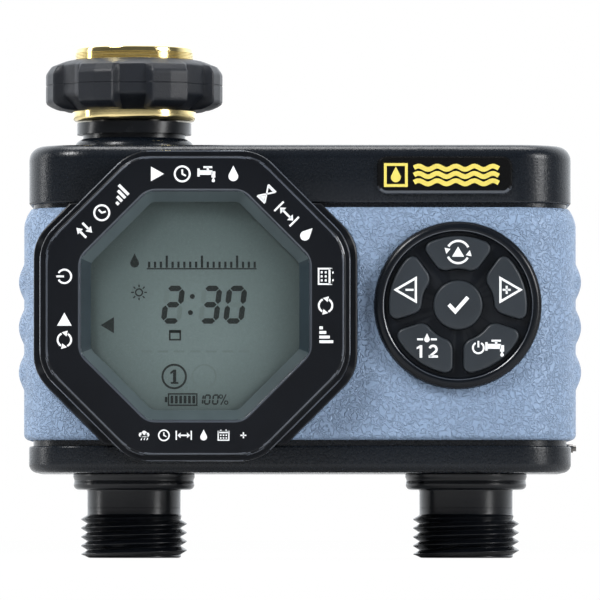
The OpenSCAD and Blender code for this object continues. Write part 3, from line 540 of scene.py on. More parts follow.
# The inlet collar's dome, as (radius, height above the case's flat top)
COLLAR = [(0, -3), (15.6, -3), (15.6, 0), (15.2, 0.05), (14.95, 0.3), (14.88, 0.8), (14.7, 1.3),
          (14.35, 1.75), (13.9, 2.12), (13.4, 2.4), (13.1, COLLAR_RISE - 0.05), (12.97, COLLAR_RISE),
          (0, COLLAR_RISE)]


def case_solid():
    """Outer form of the case with its eased edges and the band's recess, plus the inlet collar."""
    profile = fillet(CASE_BOTTOM + CASE_LOW_R, -CASE_LOW_R, CASE_LOW_R, -90, 0)
    profile += [(0, CASE_BOTTOM + 4.4)]
    profile += fillet(GROOVE_BOTTOM - LIP_R, -LIP_R, LIP_R, 0, 90, 3)
    profile += [(-RECESS, GROOVE_BOTTOM + 0.01), (-RECESS, GROOVE_TOP - 0.01)]
    profile += fillet(GROOVE_TOP + LIP_R, -LIP_R, LIP_R, -90, 0, 3)
    profile += [(0, CASE_TOP - 7)]
    profile += fillet(CASE_TOP - CASE_TOP_R, -CASE_TOP_R, CASE_TOP_R, 0, 90, 10)
    solid = make("case", *loft([plan_loop(grow, h) for grow, h in profile]), BLACK_ABS)
    collar = [(r, CASE_TOP + rise) for r, rise in COLLAR]
    boolean(solid, tool(*revolved(collar, INLET_X)), "UNION")
    return solid


def hollow_case():
    case = case_solid()
    inner = [(-WALL - RECESS, CASE_BOTTOM + WALL), (-WALL - RECESS, GROOVE_TOP + 0.6),
             (-WALL, GROOVE_TOP + 0.61), (-WALL, CASE_TOP - WALL)]
    boolean(case, tool(*loft([plan_loop(grow, h) for grow, h in inner])))
    boolean(case, rod_tool("z", (INLET_X, 0, CASE_TOP), NECK_HOLE_R, 16, 96))
    for x in OUTLET_X.values():
        boolean(case, rod_tool("z", (x, 0, CASE_BOTTOM), OUTLET_HOLE_R, 16, 96))
    return case


def build_case():
    case = hollow_case()
    case.name = "front_shell"
    rear = case.copy()
    rear.data = case.data.copy()
    rear.name = "rear_shell"
    bpy.context.scene.collection.objects.link(rear)
    boolean(case, box_tool((-90, -60, 0), (90, -SEAM, 130)), "INTERSECT")
    boolean(rear, box_tool((-90, 0, 0), (90, 60, 130)), "INTERSECT")
    boolean(case, octagon_tool(63, -40, -20))
    boolean(case, rod_tool("y", (PAD_X, -30, PAD_H), 18.6, 12, 64))
    soften(case, 0.22)
    finished(case, "timer_body", "black_abs", "front_housing")
    add_rear_frame(rear)
    cut_door_pocket(rear)
    add_hinge_knuckles(rear)
    cut_screw_wells(rear)
    soften(rear, 0.22)
    finished(rear, "timer_body", "black_abs", "rear_housing")


PIN_X, PIN_Y, PIN_H = middle("door_hinge_pin")
DOOR_LO, DOOR_HI = span("battery_door")
DOOR_HALF = (DOOR_HI[0] - DOOR_LO[0]) / 2
DOOR_TOP, DOOR_BOTTOM = DOOR_HI[2], PIN_H + 2.8


def add_rear_frame(rear):
    """Screw posts, the frame behind the door and the sill over the hinge."""
    for x, h in SCREWS:
        boolean(rear, rod_tool("y", (x, (0.1 + BACK_Y - 2) / 2, h), 3.6, BACK_Y - 2.1, 40), "UNION")
    boolean(rear, box_tool((-DOOR_HALF - 2, 25.0, DOOR_BOTTOM - 1),
                           (DOOR_HALF + 2, BACK_Y - 2, DOOR_TOP + 2)), "UNION")
    boolean(rear, box_tool((-CASE_W / 2 + 2.6, PIN_Y - 7.4, CASE_BOTTOM + 2),
                           (CASE_W / 2 - 2.6, PIN_Y + 1.2, DOOR_BOTTOM - 0.3)), "UNION")


def cut_door_pocket(rear):
    """Pocket for the door, opening for the tray, slot for the latch and channel for the hinge."""
    tray_lo, tray_hi = span("battery_tray")
    edge = DOOR_HALF + 0.25
    boolean(rear, box_tool((-edge, BACK_Y - 2.45, DOOR_BOTTOM - 0.3), (edge, 60, DOOR_TOP + 0.3)))
    boolean(rear, box_tool((tray_lo[0] - 0.1, 3, tray_lo[2] - 0.1),
                           (tray_hi[0] + 0.1, 60, tray_hi[2] + 0.1)))
    boolean(rear, box_tool((-8.3, BACK_Y - 4.8, DOOR_TOP - 3.5), (8.3, 60, DOOR_TOP - 0.9)))
    boolean(rear, rod_tool("x", (0, PIN_Y, PIN_H), 4.7, 2 * DOOR_HALF + 0.5, 64))
    boolean(rear, box_tool((-edge, PIN_Y, PIN_H - 4.7), (edge, 60, DOOR_BOTTOM)))


def add_hinge_knuckles(rear):
    for x in (-50, 0, 50):
        boolean(rear, rod_tool("x", (x, PIN_Y, PIN_H), 2.4, 8, 40), "UNION")
        boolean(rear, box_tool((x - 4, PIN_Y - 5.7, PIN_H - 2), (x + 4, PIN_Y, PIN_H + 2)), "UNION")
    boolean(rear, rod_tool("x", (0, PIN_Y, PIN_H), 1.14, 150, 32))


def cut_screw_wells(rear):
    for x, h in SCREWS:
        boolean(rear, rod_tool("y", (x, BACK_Y, h), 3.0, 12, 40))
        boolean(rear, rod_tool("y", (x, BACK_Y / 2, h), 1.7, 60, 24))


# ---------------------------------------------------------------- grip band

RIBS = [57.6 - 11.25, 57.6, 57.6 + 11.25]
RIB_HALF, RIB_PROUD, RIB_LENGTH = 3.3, 1.4, 13.0
SEAT_R = 11.0       # corner radius of the bezel's octagonal seat in the band
BAND_LOW_R = 1.5
BAND_INSIDE = -1.05
# The band's upper rounding, as (how far in, how far below the top)
BAND_TOP_EASE = [(0.0, 4.5), (0.12, 3.6), (0.38, 2.6), (0.72, 1.8), (1.1, 1.05), (1.5, 0.42), (1.8, 0.1)]


def rib_height(y, h):
    """How far the band's side swells out at a point, over the three thumb ribs."""
    best = 0.0
    for centre in RIBS:
        along = max(0.0, abs(y) - RIB_LENGTH)
        d = math.hypot(along, h - centre) / (RIB_HALF + 1.3)
        if d < 1:
            best = max(best, RIB_PROUD * (1 - d * d) ** 1.25)
    return best


def band_loop(grow, h):
    """One level of the band; the ribs fade out where the side turns into the front."""
    turn = FRONT_R * 0.42
    loop = []
    for x, y in plan_outline(grow):
        side = max(0.0, (abs(x) - (CASE_W / 2 - turn)) / turn)
        swell = rib_height(y, h) * min(1.0, side * 1.6) if grow > 0 else 0.0
        loop.append((x + math.copysign(swell, x), y, h))
    return loop


def build_band():
    low, high = BAND_LO[2], BAND_HI[2]
    rows = 84
    foot = low + BAND_LOW_R
    profile = [(BAND_INSIDE, low + 0.3), (-0.75, low)]
    profile += fillet(foot, BAND_PROUD - BAND_LOW_R, BAND_LOW_R, -80, 0)
    profile += [(BAND_PROUD, foot + (high - low - BAND_LOW_R - 5) * k / rows) for k in range(1, rows)]
    profile += [(BAND_PROUD - inset, high - below) for inset, below in BAND_TOP_EASE]
    profile += [(-0.75, high), (BAND_INSIDE, high - 0.3)]
    band = make("band", *loft([band_loop(grow, h) for grow, h in profile], closed=True), GRIP_BLUE)
    boolean(band, octagon_tool(80.3, -50, 0, SEAT_R + 0.3))
    boolean(band, rod_tool("y", (PAD_X, -30, PAD_H), PAD_R + 0.12, 40, 96))
    edge = DOOR_HALF + 4.2
    boolean(band, box_tool((-edge, 15, 0), (edge, 60, 120)))
    for x, h in SCREWS:
        boolean(band, rod_tool("y", (x, 35, h), 3.2, 50, 40))
    soften(band, 0.3, angle=50)
    finished(band, "timer_body", "grip_blue", "grip_band")


# ---------------------------------------------------------------- display

FACE_AF, STEP_AF, WINDOW_AF, SEAT_AF = 73.3, 76.8, 56.3, 80.1     # across the bezel's flats, step by step
STEP_Y, SEAT_Y = BEZEL_FRONT + 1.7, FRONT_Y - 2.4


def bezel_rows():
    """The bezel's section from the outer step over the face and down the window, as (flats, corner r, y)."""
    front = BEZEL_FRONT
    outside = [(STEP_AF, FRONT_Y), (STEP_AF, STEP_Y + 0.45), (STEP_AF - 0.2, STEP_Y + 0.14),
               (STEP_AF - 0.6, STEP_Y), (FACE_AF + 1.1, STEP_Y), (FACE_AF + 0.75, STEP_Y - 0.12),
               (FACE_AF + 0.6, STEP_Y - 0.4), (FACE_AF + 0.5, front + 0.5), (FACE_AF + 0.3, front + 0.2),
               (FACE_AF - 0.1, front + 0.05), (FACE_AF - 0.6, front)]
    window = [(1.4, 5.5, 0), (0.75, 5.2, 0.12), (0.25, 5.0, 0.45), (0, 4.9, 0.9), (-4.6, 2.6, 3.05),
              (-4.8, 2.4, 3.2), (3.6, 1.0, 3.2), (3.6, 1.0, 5.1)]
    rows = [(af, 12, y) for af, y in outside]
    rows += [(WINDOW_AF + more, r, front + deep) for more, r, deep in window]
    return rows + [(63.0, 1.0, front + 5.1), (63.0, 1.0, FRONT_Y)]


def seat_rows():
    """The bezel's flange, which fills the band's opening from groove to groove."""
    low, high = GROOVE_BOTTOM + 0.15, GROOVE_TOP - 0.15
    return [(SEAT_AF, SEAT_R, FRONT_Y, low, high), (SEAT_AF, SEAT_R, SEAT_Y + 0.5, low, high),
            (SEAT_AF - 0.2, SEAT_R, SEAT_Y + 0.15, low + 0.1, high - 0.1),
            (SEAT_AF - 0.7, SEAT_R, SEAT_Y, low + 0.35, high - 0.35),
            (64, 2, SEAT_Y, low + 2, high - 2), (64, 2, FRONT_Y, low + 2, high - 2)]


def build_bezel():
    bezel = make("bezel", *loft([octagon_loop(*row) for row in bezel_rows()], closed=True), BEZEL_BLACK)
    boolean(bezel, tool(*loft([octagon_loop(*row) for row in seat_rows()], closed=True)), "UNION")
    shade(bezel, 24)
    paint_slope_and_edge_light(bezel)
    finished(bezel, "timer_body", "black_abs", "display_bezel")


def paint_slope_and_edge_light(bezel):
    """Paints light onto the bezel: a painted reflection on the window's slopes, lit above and below and
    shaded at the sides, and painted highlights on its narrow roundings.
    """
    roundings = [(WINDOW_AF, WINDOW_AF + 1.5), (FACE_AF - 0.65, FACE_AF + 0.35),
                 (STEP_AF - 0.65, STEP_AF + 0.05)]
    centre = at(BEZEL_X, BEZEL_FRONT + 3.3, BEZEL_H)
    directions = [polar(1, 45 * k) for k in range(8)]

    def flats(face):
        across, up = face.center.x - centre.x, face.center.z - centre.z
        return 2 / MM * max(across * c + up * s for c, s in directions)

    def on_slope(face):
        return flats(face) < WINDOW_AF and face.center.y < centre.y

    def at_side(face):
        return abs(face.center.x - centre.x) > 2.4 * abs(face.center.z - centre.z)

    def rounded(face):
        tilted = 0.12 < -face.normal.y < 0.985
        return tilted and not on_slope(face) and any(low < flats(face) < high for low, high in roundings)

    # Painted reflection on the slopes, painted highlight on the roundings, and a darker shaded copy on the
    # side slopes.
    accent(bezel, LIT_SLOPE, lambda face: on_slope(face) and not at_side(face))
    accent(bezel, EDGE_HIGHLIGHT, rounded)
    accent(bezel, SHADED_SLOPE, lambda face: on_slope(face) and at_side(face))


def plate(name, outline, y_front, y_back, body, slot, mat, ease=0.25):
    """Flat plate facing the front with eased front edges, from an outline function of the inset."""
    rows = [(0, y_back), (0, y_front + ease), (ease * 0.3, y_front + ease * 0.3), (ease, y_front)]
    loops = [[(u, y, v) for u, v in outline(inset)] for inset, y in rows]
    return make(name, *loft(loops), mat, body, slot)


def pane(name, node, af, r, short, slot, mat):
    """Octagonal pane in place of a CAD node, stopping short of its back."""
    lo, hi = span(node)

    def outline(inset):
        return [(BEZEL_X + u, BEZEL_H + v) for u, v in octagon(af - 2 * inset, r)]

    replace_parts(plate(name, outline, lo[1], hi[1] - short, "timer_body", slot, mat), node)


def build_display():
    pane("display_window", "display_lens", 59.7, 1.0, 0.35, "clear_window", WINDOW)
    pane("lcd_glass", "lcd_panel", 57, 0.6, 0, "lcd_glass", LCD_FACE)
    lcd_graphics(span("lcd_panel")[0][1])


# ---------------------------------------------------------------- flat marks: icons, digits and bars

def heading(p, q):
    return math.atan2(q[1] - p[1], q[0] - p[0])


class Marks:
    """Collects flat shapes in a plane that faces the front, and makes one thin printed piece of them."""

    THICK = 0.05

    def __init__(self, x, h, y, turn=0.0, scale=1.0):
        self.x, self.h, self.y = x, h, y
        self.turn, self.scale = math.radians(turn), scale
        self.across = 0.0
        self.verts, self.faces = [], []

    def add(self, points):
        """Adds an outline at the back and at the front of the print; returns the two first numbers."""
        start, n = len(self.verts), len(points)
        c, s = math.cos(self.turn), math.sin(self.turn)
        flat = []
        for u, v in points:
            u, v = self.across + u * self.scale, v * self.scale
            flat.append((self.x + u * c - v * s, self.h + u * s + v * c))
        for y in (self.y, self.y - self.THICK):
            self.verts.extend((u, y, v) for u, v in flat)
        return start, start + n

    def shape(self, points):
        """A filled outline, printed proud of the surface."""
        n = len(points)
        back, front = self.add(points)
        self.faces.append(tuple(back + k for k in range(n)))
        self.faces.append(tuple(front + k for k in reversed(range(n))))
        for k in range(n):
            m = (k + 1) % n
            self.faces.append((back + k, back + m, front + m, front + k))

    def strip(self, points, width, closed=False):
        """A line of even width along points, as one mitred outline."""
        n = len(points)
        left, right = [], []
        for k, (u, v) in enumerate(points):
            come = heading(points[k - 1], (u, v)) if closed or k > 0 else None
            leave = heading((u, v), points[(k + 1) % n]) if closed or k < n - 1 else come
            come = leave if come is None else come
            bend = math.remainder(leave - come, TAU) / 2
            side = come + bend + math.pi / 2
            reach = width / 2 / max(0.35, math.cos(bend))
            step = (reach * math.cos(side), reach * math.sin(side))
            left.append((u + step[0], v + step[1]))
            right.append((u - step[0], v - step[1]))
        if closed:
            self.ribbon(left, right)
        else:
            self.shape(left + right[::-1])

    def ribbon(self, outer, inner):
        """The area between two closed outlines of equal length."""
        n = len(outer)
        ob, of = self.add(outer)
        ib, inf = self.add(inner)
        for k in range(n):
            m = (k + 1) % n
            self.faces += [(of + k, of + m, inf + m, inf + k), (ob + k, ib + k, ib + m, ob + m),
                           (ob + k, ob + m, of + m, of + k), (ib + k, inf + k, inf + m, ib + m)]

    def disc(self, u, v, r, steps=28):
        self.shape(circle(u, v, r, steps))

    def ring(self, u, v, r, width, steps=40):
        self.strip(circle(u, v, r, steps), width, closed=True)

    def bars(self, *bars):
        """Upright bars, each given as (u, v, width, height)."""
        for u, v, w, h in bars:
            self.shape([(u - w / 2, v - h / 2), (u + w / 2, v - h / 2),
                        (u + w / 2, v + h / 2), (u - w / 2, v + h / 2)])

    def make(self, name, body, slot, mat):
        return make(name, self.verts, self.faces, mat, body, slot)


def circle(u, v, r, steps):
    return [(u + r * math.cos(TAU * k / steps), v + r * math.sin(TAU * k / steps)) for k in range(steps)]


SEGMENTS = {"0": "abcdef", "1": "bc", "2": "abged", "3": "abgcd", "8": "abcdefg"}


def digit(marks, u, v, text, w=3.7, h=9.4, t=1.35, slant=0.12, gap=0.16):
    """Seven-segment figure with mitred bars, centred on (u, v)."""
    half, q, side = h / 2, t / 2, -w / 2 + gap

    def level(b, inset=0.0):
        return [(side + inset, b), (side + q + inset, b + q), (-side - q - inset, b + q),
                (-side - inset, b), (-side - q - inset, b - q), (side + q + inset, b - q)]

    def upright(a, b0, b1):
        return [(a, b0 + gap), (a + q, b0 + gap + q), (a + q, b1 - gap - q), (a, b1 - gap),
                (a - q, b1 - gap - q), (a - q, b0 + gap + q)]

    shapes = {"a": level(half - q), "g": level(0, 0.1), "d": level(-half + q),
              "b": upright(w / 2, 0, half - q), "c": upright(w / 2, -half + q, 0),
              "f": upright(-w / 2, 0, half - q), "e": upright(-w / 2, -half + q, 0)}
    for key in SEGMENTS[text]:
        marks.shape([(u + a + b * slant, v + b) for a, b in shapes[key]])


DIGIT_V = 0.35
DIGITS = [(-5.5, "2"), (3.7, "3"), (9.9, "0")]
ZONE_U, ZONE_V, ZONE_R = -5.2, -17.4, 2.9
GAUGE_V = -23.1


def lcd_graphics(y):
    """Figures on the display: a time, an arrow, a zone number and a battery gauge, some of them unlit."""
    face = y - 0.005
    lit = Marks(BEZEL_X, BEZEL_H, face)
    for u, text in DIGITS:
        digit(lit, u, DIGIT_V, text)
    for v in (2.4, -1.6):
        lit.disc(-1.0 + v * 0.12, v, 0.62)
    lit.shape([(-23.4, -4.7), (-20.1, -2.7), (-20.1, -6.7)])
    lit.ring(ZONE_U, ZONE_V, ZONE_R, 0.5)
    lit.bars((-5.1, ZONE_V, 0.8, 3.4))
    lit.shape([(-5.45, -15.75), (-5.45, -16.5), (-6.15, -16.85), (-6.15, -16.35)])
    lit.bars((-5.1, -19.0, 1.9, 0.45))
    battery_gauge(lit, -3.0, GAUGE_V)
    percent_sign(lit, 6.9, GAUGE_V)
    schedule_row(lit, 11.0)
    for u, text in ((1.3, "1"), (3.0, "0"), (5.0, "0")):
        digit(lit, u, GAUGE_V, text, w=1.2, h=2.6, t=0.4, gap=0.02)
    icon_sun(lit, -13.9, 3.4)
    lit.strip([(-6.3, -8.3), (-3.7, -8.3), (-3.7, -6.1), (-6.3, -6.1)], 0.4, closed=True)
    lit.bars((-5.0, -6.3, 2.6, 0.7))
    lit.make("lcd_figures", "timer_body", "lcd_glass", LCD_DARK)
    unlit = Marks(BEZEL_X, BEZEL_H, face + 0.045)
    for u, _ in DIGITS:
        digit(unlit, u, DIGIT_V, "8", t=1.25)
    unlit.bars(*((-16 + 4 * k, -11.2, 2.6, 0.5) for k in range(9)))
    unlit.ring(2.2, ZONE_V, ZONE_R, 0.4)
    unlit.make("lcd_unlit", "timer_body", "lcd_glass", LCD_GHOST)


def percent_sign(marks, u, v):
    marks.ring(u - 0.55, v + 0.75, 0.42, 0.26, 14)
    marks.ring(u + 0.75, v - 0.75, 0.42, 0.26, 14)
    marks.strip([(u - 0.55, v - 1.3), (u + 0.75, v + 1.3)], 0.28)


def icon_sun(marks, u, v):
    marks.ring(u, v, 0.85, 0.35, 20)
    for k in range(8):
        c, s = math.cos(TAU * k / 8), math.sin(TAU * k / 8)
        marks.strip([(u + 1.3 * c, v + 1.3 * s), (u + 1.95 * c, v + 1.95 * s)], 0.32)


def battery_gauge(marks, u, v):
    marks.strip([(u - 3.6, v - 1.4), (u + 3.4, v - 1.4), (u + 3.4, v + 1.4), (u - 3.6, v + 1.4)], 0.34,
                closed=True)
    marks.bars((u - 4.2, v, 0.6, 1.3), *((u - 2.75 + 1.08 * k, v, 0.68, 1.9) for k in range(6)))


def schedule_row(marks, v):
    """A plain day strip: a drop and hour ticks, three of them tall."""
    drop(marks, -15.0, v, 1.5)
    for k in range(19):
        rise, height = (0.75, 3.0) if k in (3, 9, 15) else (0.0, 1.5)
        marks.bars((-11.4 + 1.45 * k, v - 0.75 + rise, 0.55, height))
    marks.bars((1.6, v - 1.75, 27.2, 0.3))


def drop(marks, u, v, r):
    """Water drop: a round belly drawn up to a point."""
    marks.shape(arc(u, v - 0.25 * r, r * 0.72, -215, 35, 20) + [(u, v + 1.35 * r)])


# ---------------------------------------------------------------- pictograms round the display

def icon_play(m):
    m.shape([(-1.5, -1.9), (-1.5, 1.9), (1.9, 0)])


def icon_drop(m):
    drop(m, 0, -0.2, 1.75)


def icon_tap(m):
    """Side view of a tap: body, spout, handle and one falling drop."""
    m.bars((-0.5, 0.35, 3.4, 1.2), (-2.4, 0.35, 0.6, 2.1), (0, 1.25, 0.6, 0.9), (0, 1.75, 2.3, 0.5),
           (1.45, -0.15, 1.0, 1.6))
    drop(m, 1.45, -1.6, 0.6)


def icon_arrows(m):
    """A pair of arrows, up and down."""
    for u, way in ((-1.0, 1), (1.0, -1)):
        m.bars((u, -0.5 * way, 0.6, 2.4))
        m.shape([(u - 0.95, 0.45 * way), (u + 0.95, 0.45 * way), (u, 1.9 * way)][::way])


def icon_span(m):
    """A double-ended arrow between two stops."""
    m.bars((0, 0, 3.2, 0.55))
    for way in (-1, 1):
        m.shape([(way * 1.2, 1.05), (way * 2.4, 0), (way * 1.2, -1.05)][::way])
        m.bars((way * 2.8, 0, 0.5, 3.4))


def icon_bars(m):
    m.bars(*((-1.8 + 1.2 * k, -1.6 + 0.45 * (k + 1), 0.75, 0.9 * (k + 1)) for k in range(4)))


def icon_clock(m):
    m.ring(0, 0, 1.95, 0.5)
    m.strip([(0, 1.15), (0, 0), (0.95, -0.5)], 0.45)


def icon_hourglass(m):
    for v in (2.0, -2.0):
        m.strip([(-1.4, v), (1.4, v)], 0.5)
    m.strip([(-1.15, 1.7), (1.15, 1.7), (-1.15, -1.7), (1.15, -1.7)], 0.4, closed=True)
    m.shape([(-0.75, -1.6), (0.75, -1.6), (0, -0.5)])


def icon_calendar(m):
    m.strip([(-2.0, -1.8), (2.0, -1.8), (2.0, 1.5), (-2.0, 1.5)], 0.42, closed=True)
    m.bars((0, 1.25, 4.0, 0.9), (-1.0, 1.85, 0.5, 0.5), (1.0, 1.85, 0.5, 0.5))
    m.bars(*((a, b, 0.55, 0.5) for a in (-1.05, 0, 1.05) for b in (-1.0, 0.05)))


def icon_cycle(m, r=1.75, width=0.5):
    """Two arrows that chase each other around a circle."""
    for turn in (0, 180):
        m.strip(arc(0, 0, r, turn + 25, turn + 150, 14), width)
        c, s = polar(1, turn + 168)
        m.shape([(r * c + 0.75 * c + 0.35 * s, r * s + 0.75 * s - 0.35 * c),
                 (r * c - 0.75 * c + 0.35 * s, r * s - 0.75 * s - 0.35 * c),
                 (r * c - 1.05 * s, r * s + 1.05 * c)])


def icon_off(m, r=1.75, width=0.5):
    m.strip(arc(0, 0, r, 120, 420, 26), width)
    m.strip([(0, r + 0.35), (0, 0.1)], width)


def icon_rain(m):
    """A cloud with three falling streaks."""
    for u, v, r in ((-1.1, 0.2, 0.85), (0.05, 0.65, 1.05), (1.2, 0.2, 0.8)):
        m.disc(u, v, r)
    m.bars((0.05, -0.25, 2.7, 0.8))
    for u in (-1.0, 0.1, 1.2):
        m.strip([(u + 0.2, -1.0), (u - 0.15, -1.8)], 0.32)


def icon_plus(m):
    m.bars((0, 0, 0.5, 2.2), (0, 0, 2.2, 0.5))


# Rows of marks around the display: place of the middle (across, up), turn, size, spacing and drawings
DISPLAY_MARKS = [
    ("start", 0, 32.5, 0, 0.95, 6.3, (icon_play, icon_clock, icon_tap, icon_drop)),
    ("set", -23.0, 22.9, 45, 0.95, 6.1, (icon_arrows, icon_clock, icon_bars)),
    ("duration", 22.6, 22.6, -45, 0.95, 7.0, (icon_hourglass, icon_span, icon_drop)),
    ("interval", 32.2, 0, -90, 0.95, 7.2, (icon_calendar, icon_cycle, icon_bars)),
    ("off", -32.2, 7.2, 90, 0.95, 5.0, (icon_off,)),
    ("auto", -32.2, -6.0, 90, 0.95, 4.9, (icon_cycle, icon_play)),
    ("delay", -0.3, -32.0, 0, 0.66, 4.9,
     (icon_rain, icon_clock, icon_span, icon_drop, icon_calendar, icon_plus)),
]


def build_display_marks():
    for name, u, v, turn, scale, pitch, drawings in DISPLAY_MARKS:
        marks = Marks(BEZEL_X + u, BEZEL_H + v, BEZEL_FRONT + 0.01, turn, scale)
        for k, draw in enumerate(drawings):
            marks.across = pitch * (k - (len(drawings) - 1) / 2)
            draw(marks)
        marks.make("mark_" + name, "timer_body", "button_grey", PRINT_WHITE)


# ---------------------------------------------------------------- keypad

CAP_OUTER, CAP_INNER, CAP_GAP, CAP_CORNER, OK_R = 17.1, 8.95, 2.6, 2.0, 6.1
CAPS = {"cycle": 90, "minus": 162, "zone": 234, "power": 306, "plus": 18}
CAP_BACK = span("button_ok")[1][1]
FLANGE_FRONT = -28.3
PAD_CREST = span("keypad_bezel")[0][1]
PAD_FLOOR_BACK = -28.35
HIGHLIGHT_IN, HIGHLIGHT_OUT = 18.38, 18.6       # the painted highlight line inside the keypad's rim
# The rim from its outer wall over the crest down to the floor, as (radius, depth behind the crest)
PAD_RIM = [(PAD_R, 1.1), (PAD_R - 0.12, 0.75), (PAD_R - 0.5, 0.45), (19.85, 0.16), (19.3, 0), (18.8, 0.06),
           (HIGHLIGHT_OUT, 0.14), (HIGHLIGHT_IN, 0.28), (18.25, 0.4), (18.0, 0.9), (17.95, 1.5), (5.0, 1.5)]


def turned(points, degrees):
    c, s = polar(1, degrees)
    return [(u * c - v * s, u * s + v * c) for u, v in points]


def cap_outline(angle):
    """Outline of an outer button: two arcs and two sides parallel to the spokes, with rounded corners."""
    half_out = 36 - math.degrees(math.asin(CAP_GAP / 2 / CAP_OUTER))
    half_in = 36 - math.degrees(math.asin(CAP_GAP / 2 / CAP_INNER))
    outer = arc(0, 0, CAP_OUTER, -half_out, half_out, 40)
    inner = arc(0, 0, CAP_INNER, half_in, -half_in, 24)
    sides = [spaced(outer[-1], inner[0], 14)[1:], spaced(inner[-1], outer[0], 14)[1:]]
    return turned(round_polyline(outer + sides[0] + inner + sides[1], CAP_CORNER), angle)


def sharp_corners(points, sharp=50):
    """Numbers of the points where a closed polyline turns by more than sharp degrees."""
    for k, point in enumerate(points):
        a = Vector(point) - Vector(points[k - 1])
        b = Vector(points[(k + 1) % len(points)]) - Vector(point)
        if min(a.length, b.length) > 1e-9 and math.degrees(a.angle(b)) > sharp:
            yield k


def round_polyline(points, r):
    """Rounds the sharp corners of a closed polyline by a curve that starts about r before each corner."""
    n = len(points)
    corners = list(sharp_corners(points))
    keep = [k for k in range(n) if all((Vector(points[k]) - Vector(points[c])).length > r for c in corners)]
    result = []
    for i, k in enumerate(keep):
        result.append(points[k])
        nxt = keep[(i + 1) % len(keep)]
        between = [c for c in corners if (c - k) % n < (nxt - k) % n]
        if between:
            result += corner_curve(points[k], points[between[0]], points[nxt])
    return result


def corner_curve(start, corner, end, pieces=7, pull=0.8):
    """Points of a rational curve between two points, drawn towards the corner between them."""
    p, m, q = Vector(start), Vector(corner), Vector(end)
    for k in range(1, pieces):
        t = k / pieces
        a, b, c = (1 - t) ** 2, 2 * pull * t * (1 - t), t * t
        yield tuple((p * a + m * b + q * c) / (a + b + c))


def insetter(outline):
    """A function that gives the outline moved inwards by a distance, point for point."""
    normals = []
    for k, point in enumerate(outline):
        a = Vector(point) - Vector(outline[k - 1])
        b = Vector(outline[(k + 1) % len(outline)]) - Vector(point)
        t = (a.normalized() + b.normalized()).normalized()
        normals.append(Vector((t.y, -t.x)))
    return lambda inset: [(p[0] - n.x * inset, p[1] - n.y * inset) for p, n in zip(outline, normals)]


def crowned(name, outline, dome=0.35, ease=0.55):
    """A keycap: upright sides, rounded shoulder and a slightly domed face that closes on its centre."""
    rows = [(0, CAP_BACK), (0, CAP_FRONT + ease)]
    for k in range(1, 5):
        c, s = polar(1, 90 * k / 4)
        rows.append((ease * (1 - c), CAP_FRONT + dome * 0.4 + ease * (1 - s) - dome * 0.4 * k / 4))
    loops = [[(PAD_X + u, y, PAD_H + v) for u, v in outline(inset)] for inset, y in rows]
    last = loops[-1]
    n, edge_y = len(last), last[0][1]
    cx, ch = sum(p[0] for p in last) / n, sum(p[2] for p in last) / n
    for share, rise in ((0.75, 0.5), (0.5, 0.8), (0.25, 0.95)):
        y = edge_y - dome * 0.2 * rise
        loops.append([(cx + (x - cx) * share, y, ch + (h - ch) * share) for x, _, h in last])
    verts, faces = loft(loops, cap=False)
    faces.append(tuple(reversed(range(n))))
    start = len(verts) - n
    faces.extend((start + k, start + (k + 1) % n, len(verts)) for k in range(n))
    verts.append((cx, edge_y - dome * 0.2, ch))
    return make(name, verts, faces, CAP_GREY, smooth=50)


def revolved_facing(profile, steps=128):
    """Turns (r, y) points about the keypad's axis, which points to the front."""
    verts, faces = revolved(profile, 0.0, steps)
    return [(PAD_X + x, h, PAD_H + y) for x, y, h in verts], faces


def cap_prism(angle, grow, y0, y1):
    outline = insetter(cap_outline(angle))(-grow)
    return tool(*loft([[(PAD_X + u, y, PAD_H + v) for u, v in outline] for y in (y0, y1)]))


def build_keypad_ring():
    profile = [(PAD_R, FRONT_Y)] + [(r, PAD_CREST + deep) for r, deep in PAD_RIM]
    profile += [(5.0, PAD_FLOOR_BACK), (18.5, PAD_FLOOR_BACK), (18.5, FRONT_Y)]
    ring = make("pad", *revolved_facing(profile), PAD_BLACK)
    for angle in CAPS.values():
        boolean(ring, cap_prism(angle, 0.15, -50, -20))
    boolean(ring, rod_tool("y", (PAD_X, -32, PAD_H), OK_R + 0.15, 30, 64))
    soften(ring, 0.12, angle=50, segments=1, smooth=24)
    centre = at(PAD_X, 0, PAD_H)

    def on_line(face):
        r = math.hypot(face.center.x - centre.x, face.center.z - centre.z) / MM
        return HIGHLIGHT_IN < r < HIGHLIGHT_OUT and -face.normal.y > 0.1

    # Painted highlight on the thin line inside the rim.
    accent(ring, EDGE_HIGHLIGHT, on_line)
    finished(ring, "timer_body", "black_abs", "keypad_bezel")


def build_keypad():
    build_keypad_ring()
    for name, angle in CAPS.items():
        cap = crowned("cap_" + name, insetter(cap_outline(angle)))
        join_flange(cap, name, cap_prism(angle, 0.65, FLANGE_FRONT, CAP_BACK - 0.01))
    cap = crowned("cap_ok", lambda inset: circle(0, 0, OK_R - inset, 64), dome=0.5)
    centre = (PAD_X, (FLANGE_FRONT + CAP_BACK) / 2, PAD_H)
    join_flange(cap, "ok", rod_tool("y", centre, OK_R + 0.75, CAP_BACK - FLANGE_FRONT, 64))
    build_key_marks()


def join_flange(cap, name, flange):
    """Adds the flange that keeps a cap behind the keypad's floor."""
    boolean(cap, flange, "UNION")
    shade(cap, 50)
    finished(cap, "button_" + name, "button_grey", "button_" + name)


KEY_REACH = 13.1        # from the keypad's axis to the middle of a mark
KEY_PRINT_Y = CAP_FRONT - 0.10


def key_marks(angle):
    u, v = polar(KEY_REACH, angle)
    return Marks(PAD_X + u, PAD_H + v, KEY_PRINT_Y)


def printed(marks, name):
    marks.make("print_" + name, "button_" + name, "button_grey", PRINT_WHITE)


